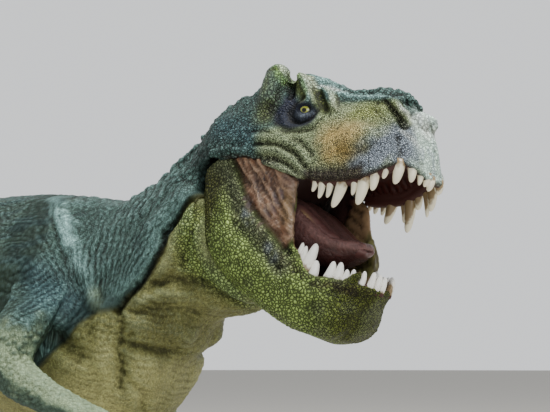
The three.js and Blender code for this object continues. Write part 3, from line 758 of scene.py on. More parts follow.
# %% Painting the body
upper = trunk_coat(body)
side = trunk_places(body.points)[:, [0, 2]]
head = paired(in_frame(body.points, HEAD))
flat = head[:, [0, 2]]
x, y, z = head.T
flank = ramp(-y, 4, 6.5)
# painted shade: dark olive laid into the neck crease
body.brush(stroke(side, CREASE, 1.3) * off_head(body.points), "dark_olive_and_painted_shade", 0.35)
body.brush(stroke(side, CHIN_SKIN, 6.5) * (1 - upper), "jaw_green", 0.9)
body.dry_brush(beside_jaw * 2 * ramp(-side[:, 1], -102, -94), "jaw_light", 0.3)
# painted shadow under the jaw, and painted shade in the chest crease and along the foot of the pouch
body.brush(stroke(side, UNDER_JAW, 2.4), "dark_olive_and_painted_shade", 0.2)
body.brush(stroke(side, CHEST_CREASE, 1.1), "dark_olive_and_painted_shade", 0.25)
body.brush(stroke(side, POUCH_FOOT, 1.2), "dark_olive_and_painted_shade", 0.3)

is_head = ramp(x, -24, -16) * ramp(z + 1.2 * np.clip(x, 0, 12), 0, 6)
body.brush(is_head, "teal")
body.dry_brush(is_head, "pale_blue", 0.2)
body.brush(stroke(flat, [(-6, 20), (2, 17), (6, 14)], 7) * flank, "teal_blue", 0.6)
rim = 25.6 - 0.15 * x
cheek = np.maximum(ramp(x, 6, 11) * (1 - ramp(z, 13, 17)), ramp(x, 23, 26))
cheek = cheek * (1 - ramp(z - rim, -2.5, 0)) * flank
body.brush(cheek, "cheek_olive")
body.dry_brush(cheek, "cheek_light", 0.7)
under_eye = stroke(flat, [(14, 13), (20, 13), (26, 15)], 4) * flank
body.brush(under_eye, "cheek_olive", 0.8)
body.dry_brush(under_eye, "cheek_light", 0.4)
column = stroke(flat, [(9.4, 20), (9.8, 26), (10.4, 33)], 5.4) * flank
body.brush(column, "horn_olive", 0.9)
body.dry_brush(column, "cheek_olive", 0.3)
ragged = flat + 1.4 * np.stack([cloud(body.points, 2.4, 31), cloud(body.points, 2.4, 37)], axis=1)
ochre = stroke(ragged, [(30, 9.6), (35.4, 9.4), (33.6, 5.4), (31, 5.6)], 7.2) * flank
body.brush(ochre, "ochre", 0.85)
body.dry_brush(ochre, "ochre_light", 0.65)
body.brush(stroke(flat, [(36.6, 15.6), (41, 15.6)], 5) * flank, "leaf", 0.95)
lavender = stroke(ragged, [(37.6, -0.4), (42, 3), (46.6, 7), (49.4, 6), (48, 2)], 6.4) * flank
body.brush(lavender, "lavender", 1.3)
nose = ramp(x + 1.6 * cloud(body.points, 3, 2) + 0.12 * z, 48, 51.6) * (1 - ramp(z, 17, 19))
body.brush(nose, "nose_pale")
body.dry_brush(nose, "white", 0.7)
runs = cloud(np.stack([x / 1.2, y / 1.2, z / 5], axis=1), 1, 21)
body.brush(nose * ramp(runs, 0.05, 0.4), "lavender", 0.6)
spots = ramp(cloud(body.points, 1.8, 61), 0.25, 0.5) * ramp(x, 42, 46) * (1 - ramp(z, 15, 17))
body.brush(spots, "teal_dark", 0.4)
body.brush(stroke(ragged, [(46.6, 3.4), (47.6, 10)], 3.4) * flank, "lavender", 0.8)
body.dry_brush(lavender, "lavender_light", 0.45)
# painted highlight on the nose bump
body.brush(stroke(head, [(50.2, -3, 12.4), (50.6, -2, 9)], 3.4), "white", 0.9)
lip_band = ramp(x, 19, 23) * (1 - ramp(x, 37, 40)) * (1 - ramp(z - upper_lip(x), 2, 5.4)) * flank
body.brush(lip_band, "lip_dark_and_painted_shade", 1.1)
body.dry_brush(lip_band, "cheek_olive", 0.35)
# the socket round the eye: navy paint and painted shade under the brow, together nearly black
socket = stroke(flat, [(15.4, 19.4), (18, 17.6), (21.4, 17.6)], 5)
socket = socket + stroke(flat, [(16.6, 24.6), (18.8, 21.4)], 3.6)
socket = np.clip(socket * 2.8, 0, 1) * flank * (1 - 0.7 * ramp(z, 26.6, 28))
body.brush(socket, "indigo", 0.97)
body.dry_brush(socket * 2, "lavender", 0.05)
body.brush(stroke(head, [(18.4, -14, 18.6), (20.8, -14.4, 17.4), (23.2, -13.4, 18.4)], 1.3), "lavender", 0.3)
# the top of the crown: pale blue dry-brushed paint and a painted reflection of the sky
on_crown = ramp(z - rim, -0.6, 0.8) * ramp(x, 17, 20)
body.brush(on_crown, "teal")
body.dry_brush(on_crown, "pale_blue", 0.85)
body.brush(on_crown * (1 - ramp(x, 24, 30)), "pale_blue", 0.75)
HEAD_LINES = [
    ("lime", 1.7, 0.6, [(10.8, 35.6), (13, 32.6), (14.4, 29.4)]),
    ("crest_cream", 1.4, 0.85, [(12.8, 35), (14.8, 32.4), (16, 29.6)]),
    ("blade_olive", 3, 1, [(16.8, 30.6), (18.4, 27), (20.4, 23.6)]),
    ("lime", 1.1, 0.6, [(18.2, 31.6), (19.8, 28.6), (21.4, 25)]),
    ("crest_cream", 1.1, 1, [(19, 31.6), (20.9, 28.8), (22.5, 25.4), (24.6, 21.4)]),
    ("blade_olive", 2.2, 1, [(23.4, 25), (25, 22), (27, 18.6)]),
    ("crest_cream", 0.9, 0.9, [(26, 25.6), (28, 23.8), (29.2, 20.8), (30.6, 17.6)]),
    # painted highlights: white on the crown and the nose, and pale blue as a painted reflection along the top
    # of the snout
    ("white", 1.1, 0.75, [(23, 27.6), (26, 26.2), (30, 24)]),
    ("pale_blue", 1.6, 0.9, [(29, 24), (33.6, 22), (38, 20.8), (42.6, 19.4)]),
    ("white", 2.6, 0.9, [(48.2, 14.6), (50, 12.6), (51, 9)]),
    ("white", 1, 0.5, [(47, 9), (49.6, 6), (51.4, 2)]),
    # painted shade in the nostril groove
    ("dark_olive_and_painted_shade", 1.2, 0.9, [(42.6, 18.6), (44.8, 16), (46.6, 13), (47.8, 10)]),
    ("leaf", 1.2, 0.6, [(45.6, 17), (47.4, 14), (48.6, 11)]),
    # painted shade along the slit where the skull's edge overhangs the jaw
    ("lip_dark_and_painted_shade", 1.7, 0.85, [(-3, 9.8), (4, 8.4), (9.4, 6.4), (13.6, 5.6)]),
    ("crest_cream", 1.4, 0.5, [(12.4, 5), (15.6, 3.6), (18, 2), (20, 0.4)]),
]
BLADES = [[(16.6, 30.6), (18.2, 27), (20.2, 23.6)], [(23.2, 25.4), (24.8, 22), (26.8, 18.6)]]
blades = np.zeros(len(x))
for path in BLADES:
    blades = np.maximum(blades, np.clip(stroke(flat, path, 3) * 1.5, 0, 1) * flank)
body.dry_brush(blades, "leaf", 0.45)
for colour, width, strength, path in HEAD_LINES:
    body.brush(stroke(flat, path, width) * flank, colour, strength)

lip_edge = ramp(upper_lip(x) + 1 - z, 0, 0.8) * ramp(x, 19, 22) * ramp(z - upper_lip(x), -4, -3)
body.brush(lip_edge, "lip_dark_and_painted_shade", 0.85)
body.dry_brush(lip_edge, "lip_dark_and_painted_shade", 0)
inside = ramp(upper_half(x) - 0.3 - np.abs(y), -0.3, 0.3) * ramp(upper_lip(x) + 8 - z, 0, 0.8)
inside *= ramp(x, -9, -6)
inside *= ramp(0.5 - facing_out(body, HEAD, upper_half), 0, 0.3) * ramp(z, -10, -8)
body.brush(inside, "palate_and_painted_shade")
# painted shade: the back of the mouth's roof nearly black
body.brush(inside * (1 - ramp(x, 18, 30)), "mouth_painted_shade", 0.95)
body.dry_brush(inside, "palate_and_painted_shade", 0)

calm = 1 - 0.55 * cheek - 0.5 * nose
brushed_over = (0.25 + 0.75 * upper) * (1 - inside) * calm * (1 - socket) * (1 - 0.5 * is_head)
brushed_over *= 1 - 0.85 * blades
weathered(body, "pale_blue", 0.6 + 0.25 * upper, 0.3, brushed_over)
chin_skin = stroke(side, CHIN_SKIN, 7) * (1 - upper)
body.grain[:, 0] = np.clip(0.15 + 0.8 * chin_skin + 0.45 * (1 - cheek) * is_head, 0, 1)
scaly = np.clip(0.35 * (1 - is_head) + is_head + chin_skin, 0, 1) * (1 - inside)
body.grain[:, 1] = scaly * (1 - 0.35 * nose) * (1 - 0.4 * socket)
body.grain[:, 2] = (1 - is_head) * (0.45 + 0.4 * upper) * (1 - chin_skin)
body.grain[:, 3] = 0.05 * inside
trunk = trunk_places(body.points)
across, reach = fan_places(trunk)
neck = ramp(trunk[:, 0], -80, -66) * off_head(body.points) * ramp(reach, 6, 14) * upper
stretch = np.stack([across, reach * 0.55, trunk[:, 1] * 0.55], axis=1)
body.flow = body.points * (1 - neck[:, None]) + stretch * neck[:, None]
body.keep()
print("painted", len(body.paint), "points of the body")

# %% [markdown]
# A piece of skin with this many squares is easier to handle in three. The cuts are only in the mesh:
# both sides of a cut keep the smooth normals of the whole, so nothing of them shows.

# %% Head, front and back of the body
def normals_kept(piece):
    """Writes each point's smooth normal down, to be given back after a cut."""
    mesh = piece.data
    normals = np.empty(len(mesh.vertices) * 3, np.float32)
    mesh.vertex_normals.foreach_get("vector", normals)
    mesh.attributes.new("smooth", "FLOAT_VECTOR", "POINT").data.foreach_set("vector", normals)


def normals_back(piece):
    mesh = piece.data
    normals = np.empty(len(mesh.vertices) * 3, np.float32)
    mesh.attributes["smooth"].data.foreach_get("vector", normals)
    mesh.normals_split_custom_set_from_vertices(normals.reshape(-1, 3))


def parted(piece, name, chosen):
    """Takes the faces whose centres, in millimetres, pass the test off the piece as a new one."""
    mesh = piece.data
    centres = np.empty(len(mesh.polygons) * 3, np.float32)
    mesh.polygons.foreach_get("center", centres)
    take(piece)
    bpy.ops.object.mode_set(mode="EDIT")
    bpy.ops.mesh.select_mode(type="FACE")
    bpy.ops.mesh.select_all(action="DESELECT")
    bpy.ops.object.mode_set(mode="OBJECT")
    mesh.polygons.foreach_set("select", chosen(centres.reshape(-1, 3) / MM))
    before = set(bpy.data.objects)
    bpy.ops.object.mode_set(mode="EDIT")
    bpy.ops.mesh.separate(type="SELECTED")
    bpy.ops.object.mode_set(mode="OBJECT")
    new = (set(bpy.data.objects) - before).pop()
    new.name = new.data.name = name
    return new


normals_kept(body_hide)
head_hide = parted(body_hide, "head_hide", lambda centres: in_frame(centres, HEAD)[:, 0] > -12)
back_hide = parted(body_hide, "back_hide", lambda centres: centres[:, 0] < HINGE[0] - 62)
for piece in (body_hide, head_hide, back_hide):
    normals_back(piece)
print([len(piece.data.polygons) for piece in (head_hide, body_hide, back_hide)], "faces")

# %% [markdown]
# ### The lower jaw
# The jaw is worked the same way. Behind the mouth its sides rise as thin cheek skin, brown and wet,
# with a firm front edge, and the floor of the mouth is hollow.

# %% Jaw clay
jaw_hide = clay_from("lower_jaw", "jaw_hide")
teeth_pressed_in(jaw_hide, JAW, lower_lip, lower_half, 1)
smoothed(remeshed(jaw_hide, ROUGH_VOXEL), 5)
JAW_RODS = [
    ([(21, -13.4, -2.6), (25, -12.8, -4.2), (28, -12.2, -6), (32, -11.4, -6.4), (36, -10.4, -4.2),
      (41, -8.2, -2), (44, -5.4, -0.6), (45.8, -2.4, 0.2)], [0.9, 1.2, 1.3, 1.3, 1.2, 1.2, 1.1, 1.1]),
    ([(39.6, -8.2, -2), (40.6, -7.8, 0.6), (41.2, -7.4, 2.6)], [1.3, 1.3, 0.7]),
    ([(13.4, -14.4, 10.6), (16.2, -14.4, 6.8), (18.9, -14.3, 2), (21, -13.6, -1.8)], [0.8, 0.9, 0.9, 0.9]),
]
FAR_CHEEK = [
    ((13, 13.4, 12), (20, 12, 12.6)), ((15, 13.4, 9.4), (23, 11, 9.8)), ((16, 13, 6.8), (26.8, 9.9, 7.4)),
    ((17, 12.8, 4.2), (30.2, 9.7, 5.6)), ((18, 12.6, 1.8), (33, 9.5, 3.4)),
    ((19, 12.6, -0.6), (34, 9.6, 0.8)), ((21, 12.6, -3), (33.6, 9.8, -1.8)),
]
jaw_clay = []
for path, radii in JAW_RODS:
    jaw_clay += [rod(path, radii, JAW), rod(mirrored(path), radii, JAW)]
jaw_clay.append(rod([(45.8, -2.4, 0.2), (46.1, 0, 0.4), (45.8, 2.4, 0.2)], [1.1, 1.1, 1.1], JAW))
for back, front in FAR_CHEEK:
    jaw_clay.append(rod([back, front], [1.4, 1.2], JAW))
jaw_clay.append(rod([front for _, front in FAR_CHEEK], [1.2] * len(FAR_CHEEK), JAW))
joined(jaw_hide, jaw_clay)
remeshed(jaw_hide, SKIN_VOXEL)
smoothed(jaw_hide, 4)
print(len(jaw_hide.data.polygons), "faces on the jaw")

# %% [markdown]
# The cheek skin is stretched between the jaws, so it is drawn into long uneven folds. The green skin
# ends over it in a soft rolled edge, and turns darker and drier along the mouth.

# %% Carving and painting the jaw
jaw = Skin(jaw_hide)
CHEEK_EDGE = [(-10.5, 5), (-7.7, 5.7), (-3, 3.6), (2, 0.6), (7.2, -1.6), (11.9, -2.5), (18.1, -4), (23, -5.4)]
JAW_STROKES = [
    (0.6, 2.4, [(px, pz - 1.5) for px, pz in CHEEK_EDGE]),
    (-0.7, 1.6, [(px, pz + 1.2) for px, pz in CHEEK_EDGE]),
    (0.8, 4, [(-4, -4), (2, -7)]),
    (-0.6, 2.4, [(4, -7), (14, -8.4), (24, -9.4)]),
    (0.6, 3, [(26, -9), (33, -10), (39, -8)]),
    (1.6, 7, [(42, -12), (45, -8)]),
]
MEMBRANE_FOLDS = [
    ((-7, 8.4), (9, 1)), ((-6, 10.4), (13, 0)), ((-4, 11.6), (7, 6.6)), ((2, 7), (16.6, 1)),
    ((-3, 14), (10, 7.4)), ((5, 9), (17, 2.6)), ((1, 13.6), (14, 6.4)), ((-8, 6.4), (2, 2.8)),
]
places = paired(in_frame(jaw.points, JAW))
x, y, z = places.T
flat = places[:, [0, 2]]
flank = ramp(-y, 4, 6.5)
edge_height = line(*CHEEK_EDGE)(x)
outer = ramp(facing_out(jaw, JAW, lower_half), -0.3, 0.2)
membrane = ramp(z - edge_height, 0.2, 1.2) * ramp(22 - x, 0, 1) * outer * ramp(-y, 11, 12)
jaw.push(relief_of(flat, JAW_STROKES) * flank)
chin = ramp(x, 36, 43) * ramp(-z, 5, 12)
jaw.push(chin * 1.3)
along, up = x * 0.93 - z * 0.37, x * 0.37 + z * 0.93
drift = cloud(jaw.points, 5.5)
folds = 1 - np.abs(cloud(np.stack([along / 6, up / 1.5, y * 0.2], axis=1), 1.7, 3)) * 3
creases = 1 - np.abs(cloud(np.stack([x / 3.4 + z / 9, z / 1.2 - x / 8, y * 0.2], axis=1), 0.9, 12)) * 3
jaw.push(membrane * (0.36 * (folds - 0.4) + 0.16 * (creases - 0.4) + 0.6 * drift))
bent = flat + 0.9 * np.stack([cloud(jaw.points, 4, 41), cloud(jaw.points, 4, 43)], axis=1)
drawn_folds = np.zeros(len(x))
for start, end in MEMBRANE_FOLDS:
    drawn_folds = np.maximum(drawn_folds, stroke(bent, [start, end], 0.9))
jaw.push(-0.5 * membrane * drawn_folds)
jaw.push((1 - membrane) * flank * (0.25 * (cells(jaw.points, 1.35) - 0.4) + 0.2 * cloud(jaw.points, 5, 6)))

mottle = cloud(jaw.points, 6, 2)
speck = cloud(jaw.points, 1.7, 5)
everywhere = np.ones(len(x))
jaw.paint[:] = PAINTS["jaw_green"]
jaw.dry_brush(everywhere, "jaw_light", 0.36)
front = ramp(x + 0.25 * z, 30, 42)
jaw.brush(front, "jaw_olive", 0.95)
jaw.dry_brush(front, "jaw_green", 0.3)
back = ramp(-x - 0.2 * z, -1, 8)
jaw.brush(back, "jaw_brown", 0.9)
jaw.dry_brush(back, "throat_olive", 0.35)
jaw.brush(ramp(mottle, 0.1, 0.6), "jaw_grey", 0.5)
border_band = stroke(flat, [(px, pz - 2.4) for px, pz in CHEEK_EDGE], 5.5) * flank
jaw.brush(border_band, "jaw_grey", 1.1)
jaw.dry_brush(border_band, "cheek_light", 0.5)
jaw.brush(border_band * ramp(speck, 0, 0.4), "dark_olive_and_painted_shade", 0.4)
LAVENDER_SPOTS = [[(6, -3.4), (8.4, -4.2)], [(17.6, -6.6), (20.6, -8)]]
for spot in LAVENDER_SPOTS:
    jaw.brush(stroke(flat, spot, 2.4) * flank * ramp(speck, -0.4, 0.2), "lavender", 0.6)
lip_path = [(21, -4), (24, -5.6), (29, -7.4), (34, -6.6), (40, -3.4), (45, -1.2)]
jaw.brush(stroke(flat, lip_path, 2.6) * flank * ramp(speck, -0.5, 0.2), "lip_dark_and_painted_shade", 0.75)
jaw.brush(membrane, "membrane")
jaw.dry_brush(membrane, "membrane_pale_and_painted_highlight", 0)
# painted highlights: the crests of the cheek skin's folds painted pale, most in the band where the light
# falls
painted_light = stroke(flat, [(-2, 8), (8, 3), (14, 0.5)], 7)
jaw.brush(membrane * ramp(folds, 0.5, 1), "membrane_pale_and_painted_highlight", 0.3 + 0.5 * painted_light)
jaw.brush(membrane * ramp(creases, 0.6, 1), "membrane_pale_and_painted_highlight", 0.25 + 0.5 * painted_light)
jaw.brush(membrane * stroke(flat, [(13.6, 8), (17, 3.4)], 4.6), "membrane_ochre", 0.85)
# painted shade in the hollows of the folds and in the drawn folds
jaw.brush(membrane * ramp(-folds, 0.2, 0.9), "lip_dark_and_painted_shade", 0.25)
jaw.brush(membrane * drawn_folds, "lip_dark_and_painted_shade", 0.5)
jaw.brush(membrane * stroke(flat, [(13.6, 11), (17, 6.4), (20.4, 0)], 1.1), "lip_dark_and_painted_shade", 0.7)
half = lower_half(x)
turned_in = ramp(0.1 - facing_out(jaw, JAW, lower_half), 0, 0.25)
bottom = ramp((jaw.normals @ JAW)[:, 2], -0.1, 0.2) * ramp(half - 1.4 - np.abs(y), -0.3, 0.3)
middle = ramp(half - 3.4 - np.abs(y), 0, 0.5) * ramp(z - lower_lip(x) + 2, 0, 1)
forward = ramp((jaw.normals @ JAW)[:, 0], 0.1, 0.4) * (1 - ramp(x, 12, 15))
hollow = np.maximum(np.maximum(bottom, middle), np.maximum(turned_in, forward))
hollow *= ramp(half + 0.6 - np.abs(y), -0.3, 0.3)
hollow *= np.maximum(ramp(x, 2, 3.4), turned_in) * ramp(z, -12.5, -11.5) * ramp(46 - x, 0, 1)
jaw.brush(hollow, "mauve")
# painted shade: the back of the mouth's floor nearly black
jaw.brush(hollow * (1 - ramp(x, 8, 16)), "mouth_painted_shade", 0.8)
jaw.dry_brush(hollow, "mauve", 0)
far_cheek = hollow * ramp(np.abs(y), 8, 8.6) * ramp(z, -4, -2) * ramp(x, 14, 18)
jaw.brush(far_cheek, "membrane_ochre", 0.9)
jaw.brush(far_cheek, "membrane_pale_and_painted_highlight", 0.45)
jaw.brush(far_cheek * ramp(x, 25, 28), "throat_olive", 0.9)
jaw.brush(far_cheek * ramp(x, 25, 28) * ramp(speck, 0, 0.25), "lip_dark_and_painted_shade", 0.7)
# on the cheek skin the pale brush over the crests is a painted highlight
weathered(jaw, "membrane_pale_and_painted_highlight", 0.75 - 0.35 * membrane, 0.3, membrane)
jaw.grain[:, 0] = (1 - membrane) * (1 - 0.6 * front) * (1 - 0.5 * border_band)
jaw.grain[:, 1] = (1 - membrane) * (1 - hollow)
jaw.grain[:, 2] = 0.45 * membrane
jaw.grain[:, 3] = np.clip(0.9 * membrane + 0.6 * hollow, 0, 1)
drawn = np.stack([x * 0.25, z * 1.2, y * 0.3], axis=1)
jaw.flow = jaw.points * (1 - membrane[:, None]) + drawn * membrane[:, None]
jaw.keep()
print("painted", len(jaw.paint), "points of the jaw")

# %% [markdown]
# ### The skin's material
# One material serves every moulding. It takes its broad colour from the paint that was brushed on,
# and adds what is too fine to carve: pebble scales, small on the cheeks and large on the jaw, each a
# little different in tone, with dark paint between and the dry brush's paint on top, and a fine
# grain that follows the wrinkles of the neck.

# %% Nodes
def node(tree, kind, **settings):
    """A new node; a setting that starts with in_ is the value of that input."""
    made = tree.nodes.new(kind)
    for setting, value in settings.items():
        if setting.startswith("in_"):
            made.inputs[setting[3:].replace("_", " ")].default_value = value
        else:
            setattr(made, setting, value)
    return made


def wired(tree, socket, value):
    """Puts a plain value or another node's output into a socket."""
    if isinstance(value, (int, float, tuple)):
        socket.default_value = value
    else:
        tree.links.new(value, socket)


def maths(tree, operation, *values):
    """A maths node on sockets or plain numbers."""
    made = node(tree, "ShaderNodeMath", operation=operation)
    for socket, value in zip(made.inputs, values):
        wired(tree, socket, value)
    return made.outputs[0]


def mixed(tree, kind, share, a, b, blend="MIX"):
    """A mix node; kind is FLOAT, RGBA or VECTOR."""
    made = node(tree, "ShaderNodeMix", data_type=kind)
    if kind == "RGBA":
        made.blend_type = blend
    first = {"FLOAT": 2, "VECTOR": 4, "RGBA": 6}[kind]
    wired(tree, made.inputs[0], share)
    wired(tree, made.inputs[first], a)
    wired(tree, made.inputs[first + 1], b)
    return made.outputs[{"FLOAT": 0, "VECTOR": 1, "RGBA": 2}[kind]]


def ranged(tree, value, low, high, to_low=0.0, to_high=1.0):
    made = node(tree, "ShaderNodeMapRange", interpolation_type="SMOOTHSTEP")
    for socket, number in zip(made.inputs[:5], (value, low, high, to_low, to_high)):
        wired(tree, socket, number)
    return made.outputs[0]


def new_material(name, roughness=0.5, coat=0.0):
    made = bpy.data.materials.new(name)
    made.use_nodes = True
    shader = made.node_tree.nodes["Principled BSDF"]
    shader.inputs["Roughness"].default_value = roughness
    shader.inputs["Coat Weight"].default_value = coat
    return made, made.node_tree, shader


# %% Painted skin material
def attribute(tree, name):
    return node(tree, "ShaderNodeAttribute", attribute_name=name)


def pebbles(tree, place, size):
    """Height and random tone of rounded scales of that size, in millimetres."""
    heights = node(tree, "ShaderNodeTexVoronoi", feature="DISTANCE_TO_EDGE", in_Scale=1 / size)
    tones = node(tree, "ShaderNodeTexVoronoi", feature="F1", in_Scale=1 / size)
    for made in (heights, tones):
        tree.links.new(place, made.inputs["Vector"])
    grey = node(tree, "ShaderNodeSeparateColor")
    tree.links.new(tones.outputs["Color"], grey.inputs[0])
    return ranged(tree, heights.outputs["Distance"], 0.0, 0.4), grey.outputs[0]


SMALL_PEBBLE, LARGE_PEBBLE = 0.44, 0.92


def painted_skin(name):
    material, tree, shader = new_material(name)
    paint, crest, grain, flow = [attribute(tree, part) for part in ("paint", "crest", "grain", "flow")]
    parts = node(tree, "ShaderNodeSeparateColor")
    tree.links.new(grain.outputs["Color"], parts.inputs[0])
    large, scaly, streaky = parts.outputs
    wet = grain.outputs["Alpha"]
    place = flow.outputs["Vector"]

    small_height, small_tone = pebbles(tree, place, SMALL_PEBBLE)
    large_height, large_tone = pebbles(tree, place, LARGE_PEBBLE)
    height = mixed(tree, "FLOAT", large, small_height, large_height)
    tone = mixed(tree, "FLOAT", large, small_tone, large_tone)

    streaks = node(tree, "ShaderNodeTexNoise", in_Scale=1.3, in_Detail=4.0, in_Roughness=0.65)
    blotches = node(tree, "ShaderNodeTexNoise", in_Scale=0.3, in_Detail=3.0)
    for made in (streaks, blotches):
        tree.links.new(place, made.inputs["Vector"])
    streak = ranged(tree, streaks.outputs["Fac"], 0.36, 0.64)

    small_gap = ranged(tree, height, 0.0, 0.7, 0.1, 1.6)
    large_gap = ranged(tree, height, 0.0, 0.62, 0.24, 1.5)
    gap = mixed(tree, "FLOAT", large, small_gap, large_gap)
    lively = maths(tree, "MULTIPLY_ADD", tone, 0.4, 0.8)
    scale_shade = mixed(tree, "FLOAT", scaly, 1.0, maths(tree, "MULTIPLY", gap, lively))
    streak_shade = mixed(tree, "FLOAT", streaky, 1.0, maths(tree, "MULTIPLY_ADD", streak, 0.75, 0.6))
    broad_shade = maths(tree, "MULTIPLY_ADD", blotches.outputs["Fac"], 0.7, 0.65)
    shade = maths(tree, "MULTIPLY", maths(tree, "MULTIPLY", scale_shade, streak_shade), broad_shade)
    grey = node(tree, "ShaderNodeCombineColor")
    for socket in grey.inputs:
        tree.links.new(shade, socket)
    shaded = mixed(tree, "RGBA", 1.0, paint.outputs["Color"], grey.outputs[0], "MULTIPLY")

    tops = maths(tree, "MULTIPLY", ranged(tree, height, 0.3, 1.0), ranged(tree, tone, 0.0, 0.8, 0.3, 1.0))
    ridges = ranged(tree, streaks.outputs["Fac"], 0.52, 0.68)
    worn = mixed(tree, "FLOAT", scaly, ridges, tops)
    brushed = maths(tree, "MULTIPLY", worn, crest.outputs["Alpha"])
    colour = mixed(tree, "RGBA", brushed, shaded, crest.outputs["Color"])
    tree.links.new(colour, shader.inputs["Base Color"])

    dull = maths(tree, "MULTIPLY_ADD", streaks.outputs["Fac"], 0.2, 0.4)
    tree.links.new(mixed(tree, "FLOAT", wet, dull, 0.24), shader.inputs["Roughness"])
    tree.links.new(mixed(tree, "FLOAT", wet, 0.2, 0.7), shader.inputs["Specular IOR Level"])
    scale_lift = maths(tree, "MULTIPLY", height, scaly)
    streak_lift = maths(tree, "MULTIPLY", streak, streaky)
    lift = maths(tree, "ADD", scale_lift, streak_lift)
    bump = node(tree, "ShaderNodeBump", in_Strength=1.0)
    tree.links.new(mixed(tree, "FLOAT", large, 0.0003, 0.00045), bump.inputs["Distance"])
    tree.links.new(lift, bump.inputs["Height"])
    tree.links.new(bump.outputs[0], shader.inputs["Normal"])
    return material


skin_material = painted_skin("painted_skin")
for piece in (body_hide, head_hide, back_hide, jaw_hide):
    piece.data.materials.append(skin_material)
print("the skin's material has", len(skin_material.node_tree.nodes), "nodes")

# %% [markdown]
# ### Teeth, gums and claws
# A tooth is a blunt, slightly bent finger. One blank is drawn out of a disc by extruding it upwards in
# ever smaller steps. Every tooth is a copy of it, laid along its own curve from root to tip, and the
# small gum around its root and the claws on hands and feet are made from the same blank.

# %% The tooth blank
BLANK_STEPS = [
    (0.2, 1.0), (0.42, 0.94), (0.62, 0.84), (0.78, 0.72), (0.89, 0.58), (0.96, 0.38), (0.995, 0.16),
]
bpy.ops.object.select_all(action="DESELECT")
bpy.ops.mesh.primitive_circle_add(vertices=14, radius=1, fill_type="NGON")
blank = bpy.context.object
bpy.ops.object.mode_set(mode="EDIT")
bpy.ops.mesh.select_all(action="SELECT")
level, girth = 0.0, 1.0
for step, share in BLANK_STEPS:
    bpy.ops.mesh.extrude_region_move(TRANSFORM_OT_translate={"value": (0, 0, step - level)})
    factor = share / girth
    bpy.ops.transform.resize(value=(factor, factor, 1))
    level, girth = step, share
bpy.ops.mesh.select_all(action="SELECT")
bpy.ops.mesh.normals_make_consistent(inside=False)
bpy.ops.object.mode_set(mode="OBJECT")
bpy.ops.object.shade_smooth()
print("the blank has", len(blank.data.polygons), "faces")


def spike(root, tip, radius, bow, turn, flat=1.0, until=1.0, taper=0.0):
    """A copy of the blank along a bent line between two frame points."""
    root, tip = from_frame([root, tip], turn)
    bend = turn @ np.array(bow, float)
    shape = np.array([v.co for v in blank.data.vertices])
    share = shape[:, 2] * until
    along = tip - root
    side = np.cross(along, turn @ np.array([1.0, 0.0, 0.0]))
    side /= np.linalg.norm(side)
    rise = np.cross(along / np.linalg.norm(along), side)
    centre = root + share[:, None] * along + (4 * share * (1 - share))[:, None] * bend
    girth = radius * (1 - taper * shape[:, 2])[:, None]
    around = shape[:, :1] * side * flat + shape[:, 1:2] * rise
    made = bpy.data.objects.new("spike", blank.data.copy())
    bpy.context.scene.collection.objects.link(made)
    made.data.vertices.foreach_set("co", ((centre + around * girth) * MM).ravel())
    depth = made.data.attributes.new("depth", "FLOAT", "POINT")
    # painted shade: the faces turned in towards the middle are made browner, like the root
    inwards = np.clip((around @ turn)[:, 1] * -np.sign(in_frame(root, turn)[1]), 0, 1)
    depth.data.foreach_set("value", (shape[:, 2] - 0.9 * inwards).astype(np.float32))
    return made


def gathered(name, parts, material):
    """Parts become one piece with one material."""
    piece = joined(parts[0], parts[1:])
    piece.name = piece.data.name = name
    piece.data.materials.clear()
    piece.data.materials.append(material)
    piece.data.polygons.foreach_set("material_index", np.zeros(len(piece.data.polygons), np.int32))
    take(piece)
    bpy.ops.object.mode_set(mode="EDIT")
    bpy.ops.mesh.select_all(action="SELECT")
    bpy.ops.mesh.normals_make_consistent(inside=False)
    bpy.ops.object.mode_set(mode="OBJECT")
    bpy.ops.object.shade_smooth()
    return piece


# %% [markdown]
# Ivory paint covers the teeth, thinner and browner near the root, and browner on the faces turned
# inwards as painted shade. The claws are horn brown, worn pale towards the point, and also take the
# painted shade on their inner faces.

# %% Tooth, gum and claw materials
def rooted_material(name, root, tip, roughness, coat, from_root=0.12, to_tip=0.4):
    """A finish that changes from the root of each spike to its tip, with painted shade on the faces turned
    inwards.
    """
    material, tree, shader = new_material(name, roughness, coat)
    place = node(tree, "ShaderNodeTexCoord")
    blotch = node(tree, "ShaderNodeTexNoise", in_Scale=900.0, in_Detail=3.0)
    tree.links.new(place.outputs["Object"], blotch.inputs["Vector"])
    uneven = maths(tree, "MULTIPLY_ADD", blotch.outputs["Fac"], 0.5, -0.25)
    depth = maths(tree, "ADD", attribute(tree, "depth").outputs["Fac"], uneven)
    share = ranged(tree, depth, from_root, to_tip)
    colour = mixed(tree, "RGBA", share, (*PAINTS[root], 1), (*PAINTS[tip], 1))
    tree.links.new(colour, shader.inputs["Base Color"])
    bump = node(tree, "ShaderNodeBump", in_Strength=0.35, in_Distance=0.0002)
    tree.links.new(blotch.outputs["Fac"], bump.inputs["Height"])
    tree.links.new(bump.outputs[0], shader.inputs["Normal"])
    return material


tooth_paint = rooted_material("tooth_paint", "root_brown", "ivory", 0.35, 0.2)
white_tooth_paint = rooted_material("white_tooth_paint", "root_brown", "tooth_white", 0.35, 0.2)
gum_paint = rooted_material("gum_paint", "gum", "root_brown", 0.6, 0.0, 0.2, 1.2)
claw_paint = rooted_material("claw_paint", "dark_olive_and_painted_shade", "claw", 0.35, 0.2)

# %% [markdown]
# The teeth are uneven, as a growing animal's are: long ones beside short new ones, most of them
# leaning back. Each row of numbers is one tooth on both sides of its jaw, in the head's or the jaw's
# frame. A soft gum runs along the inside of each row.

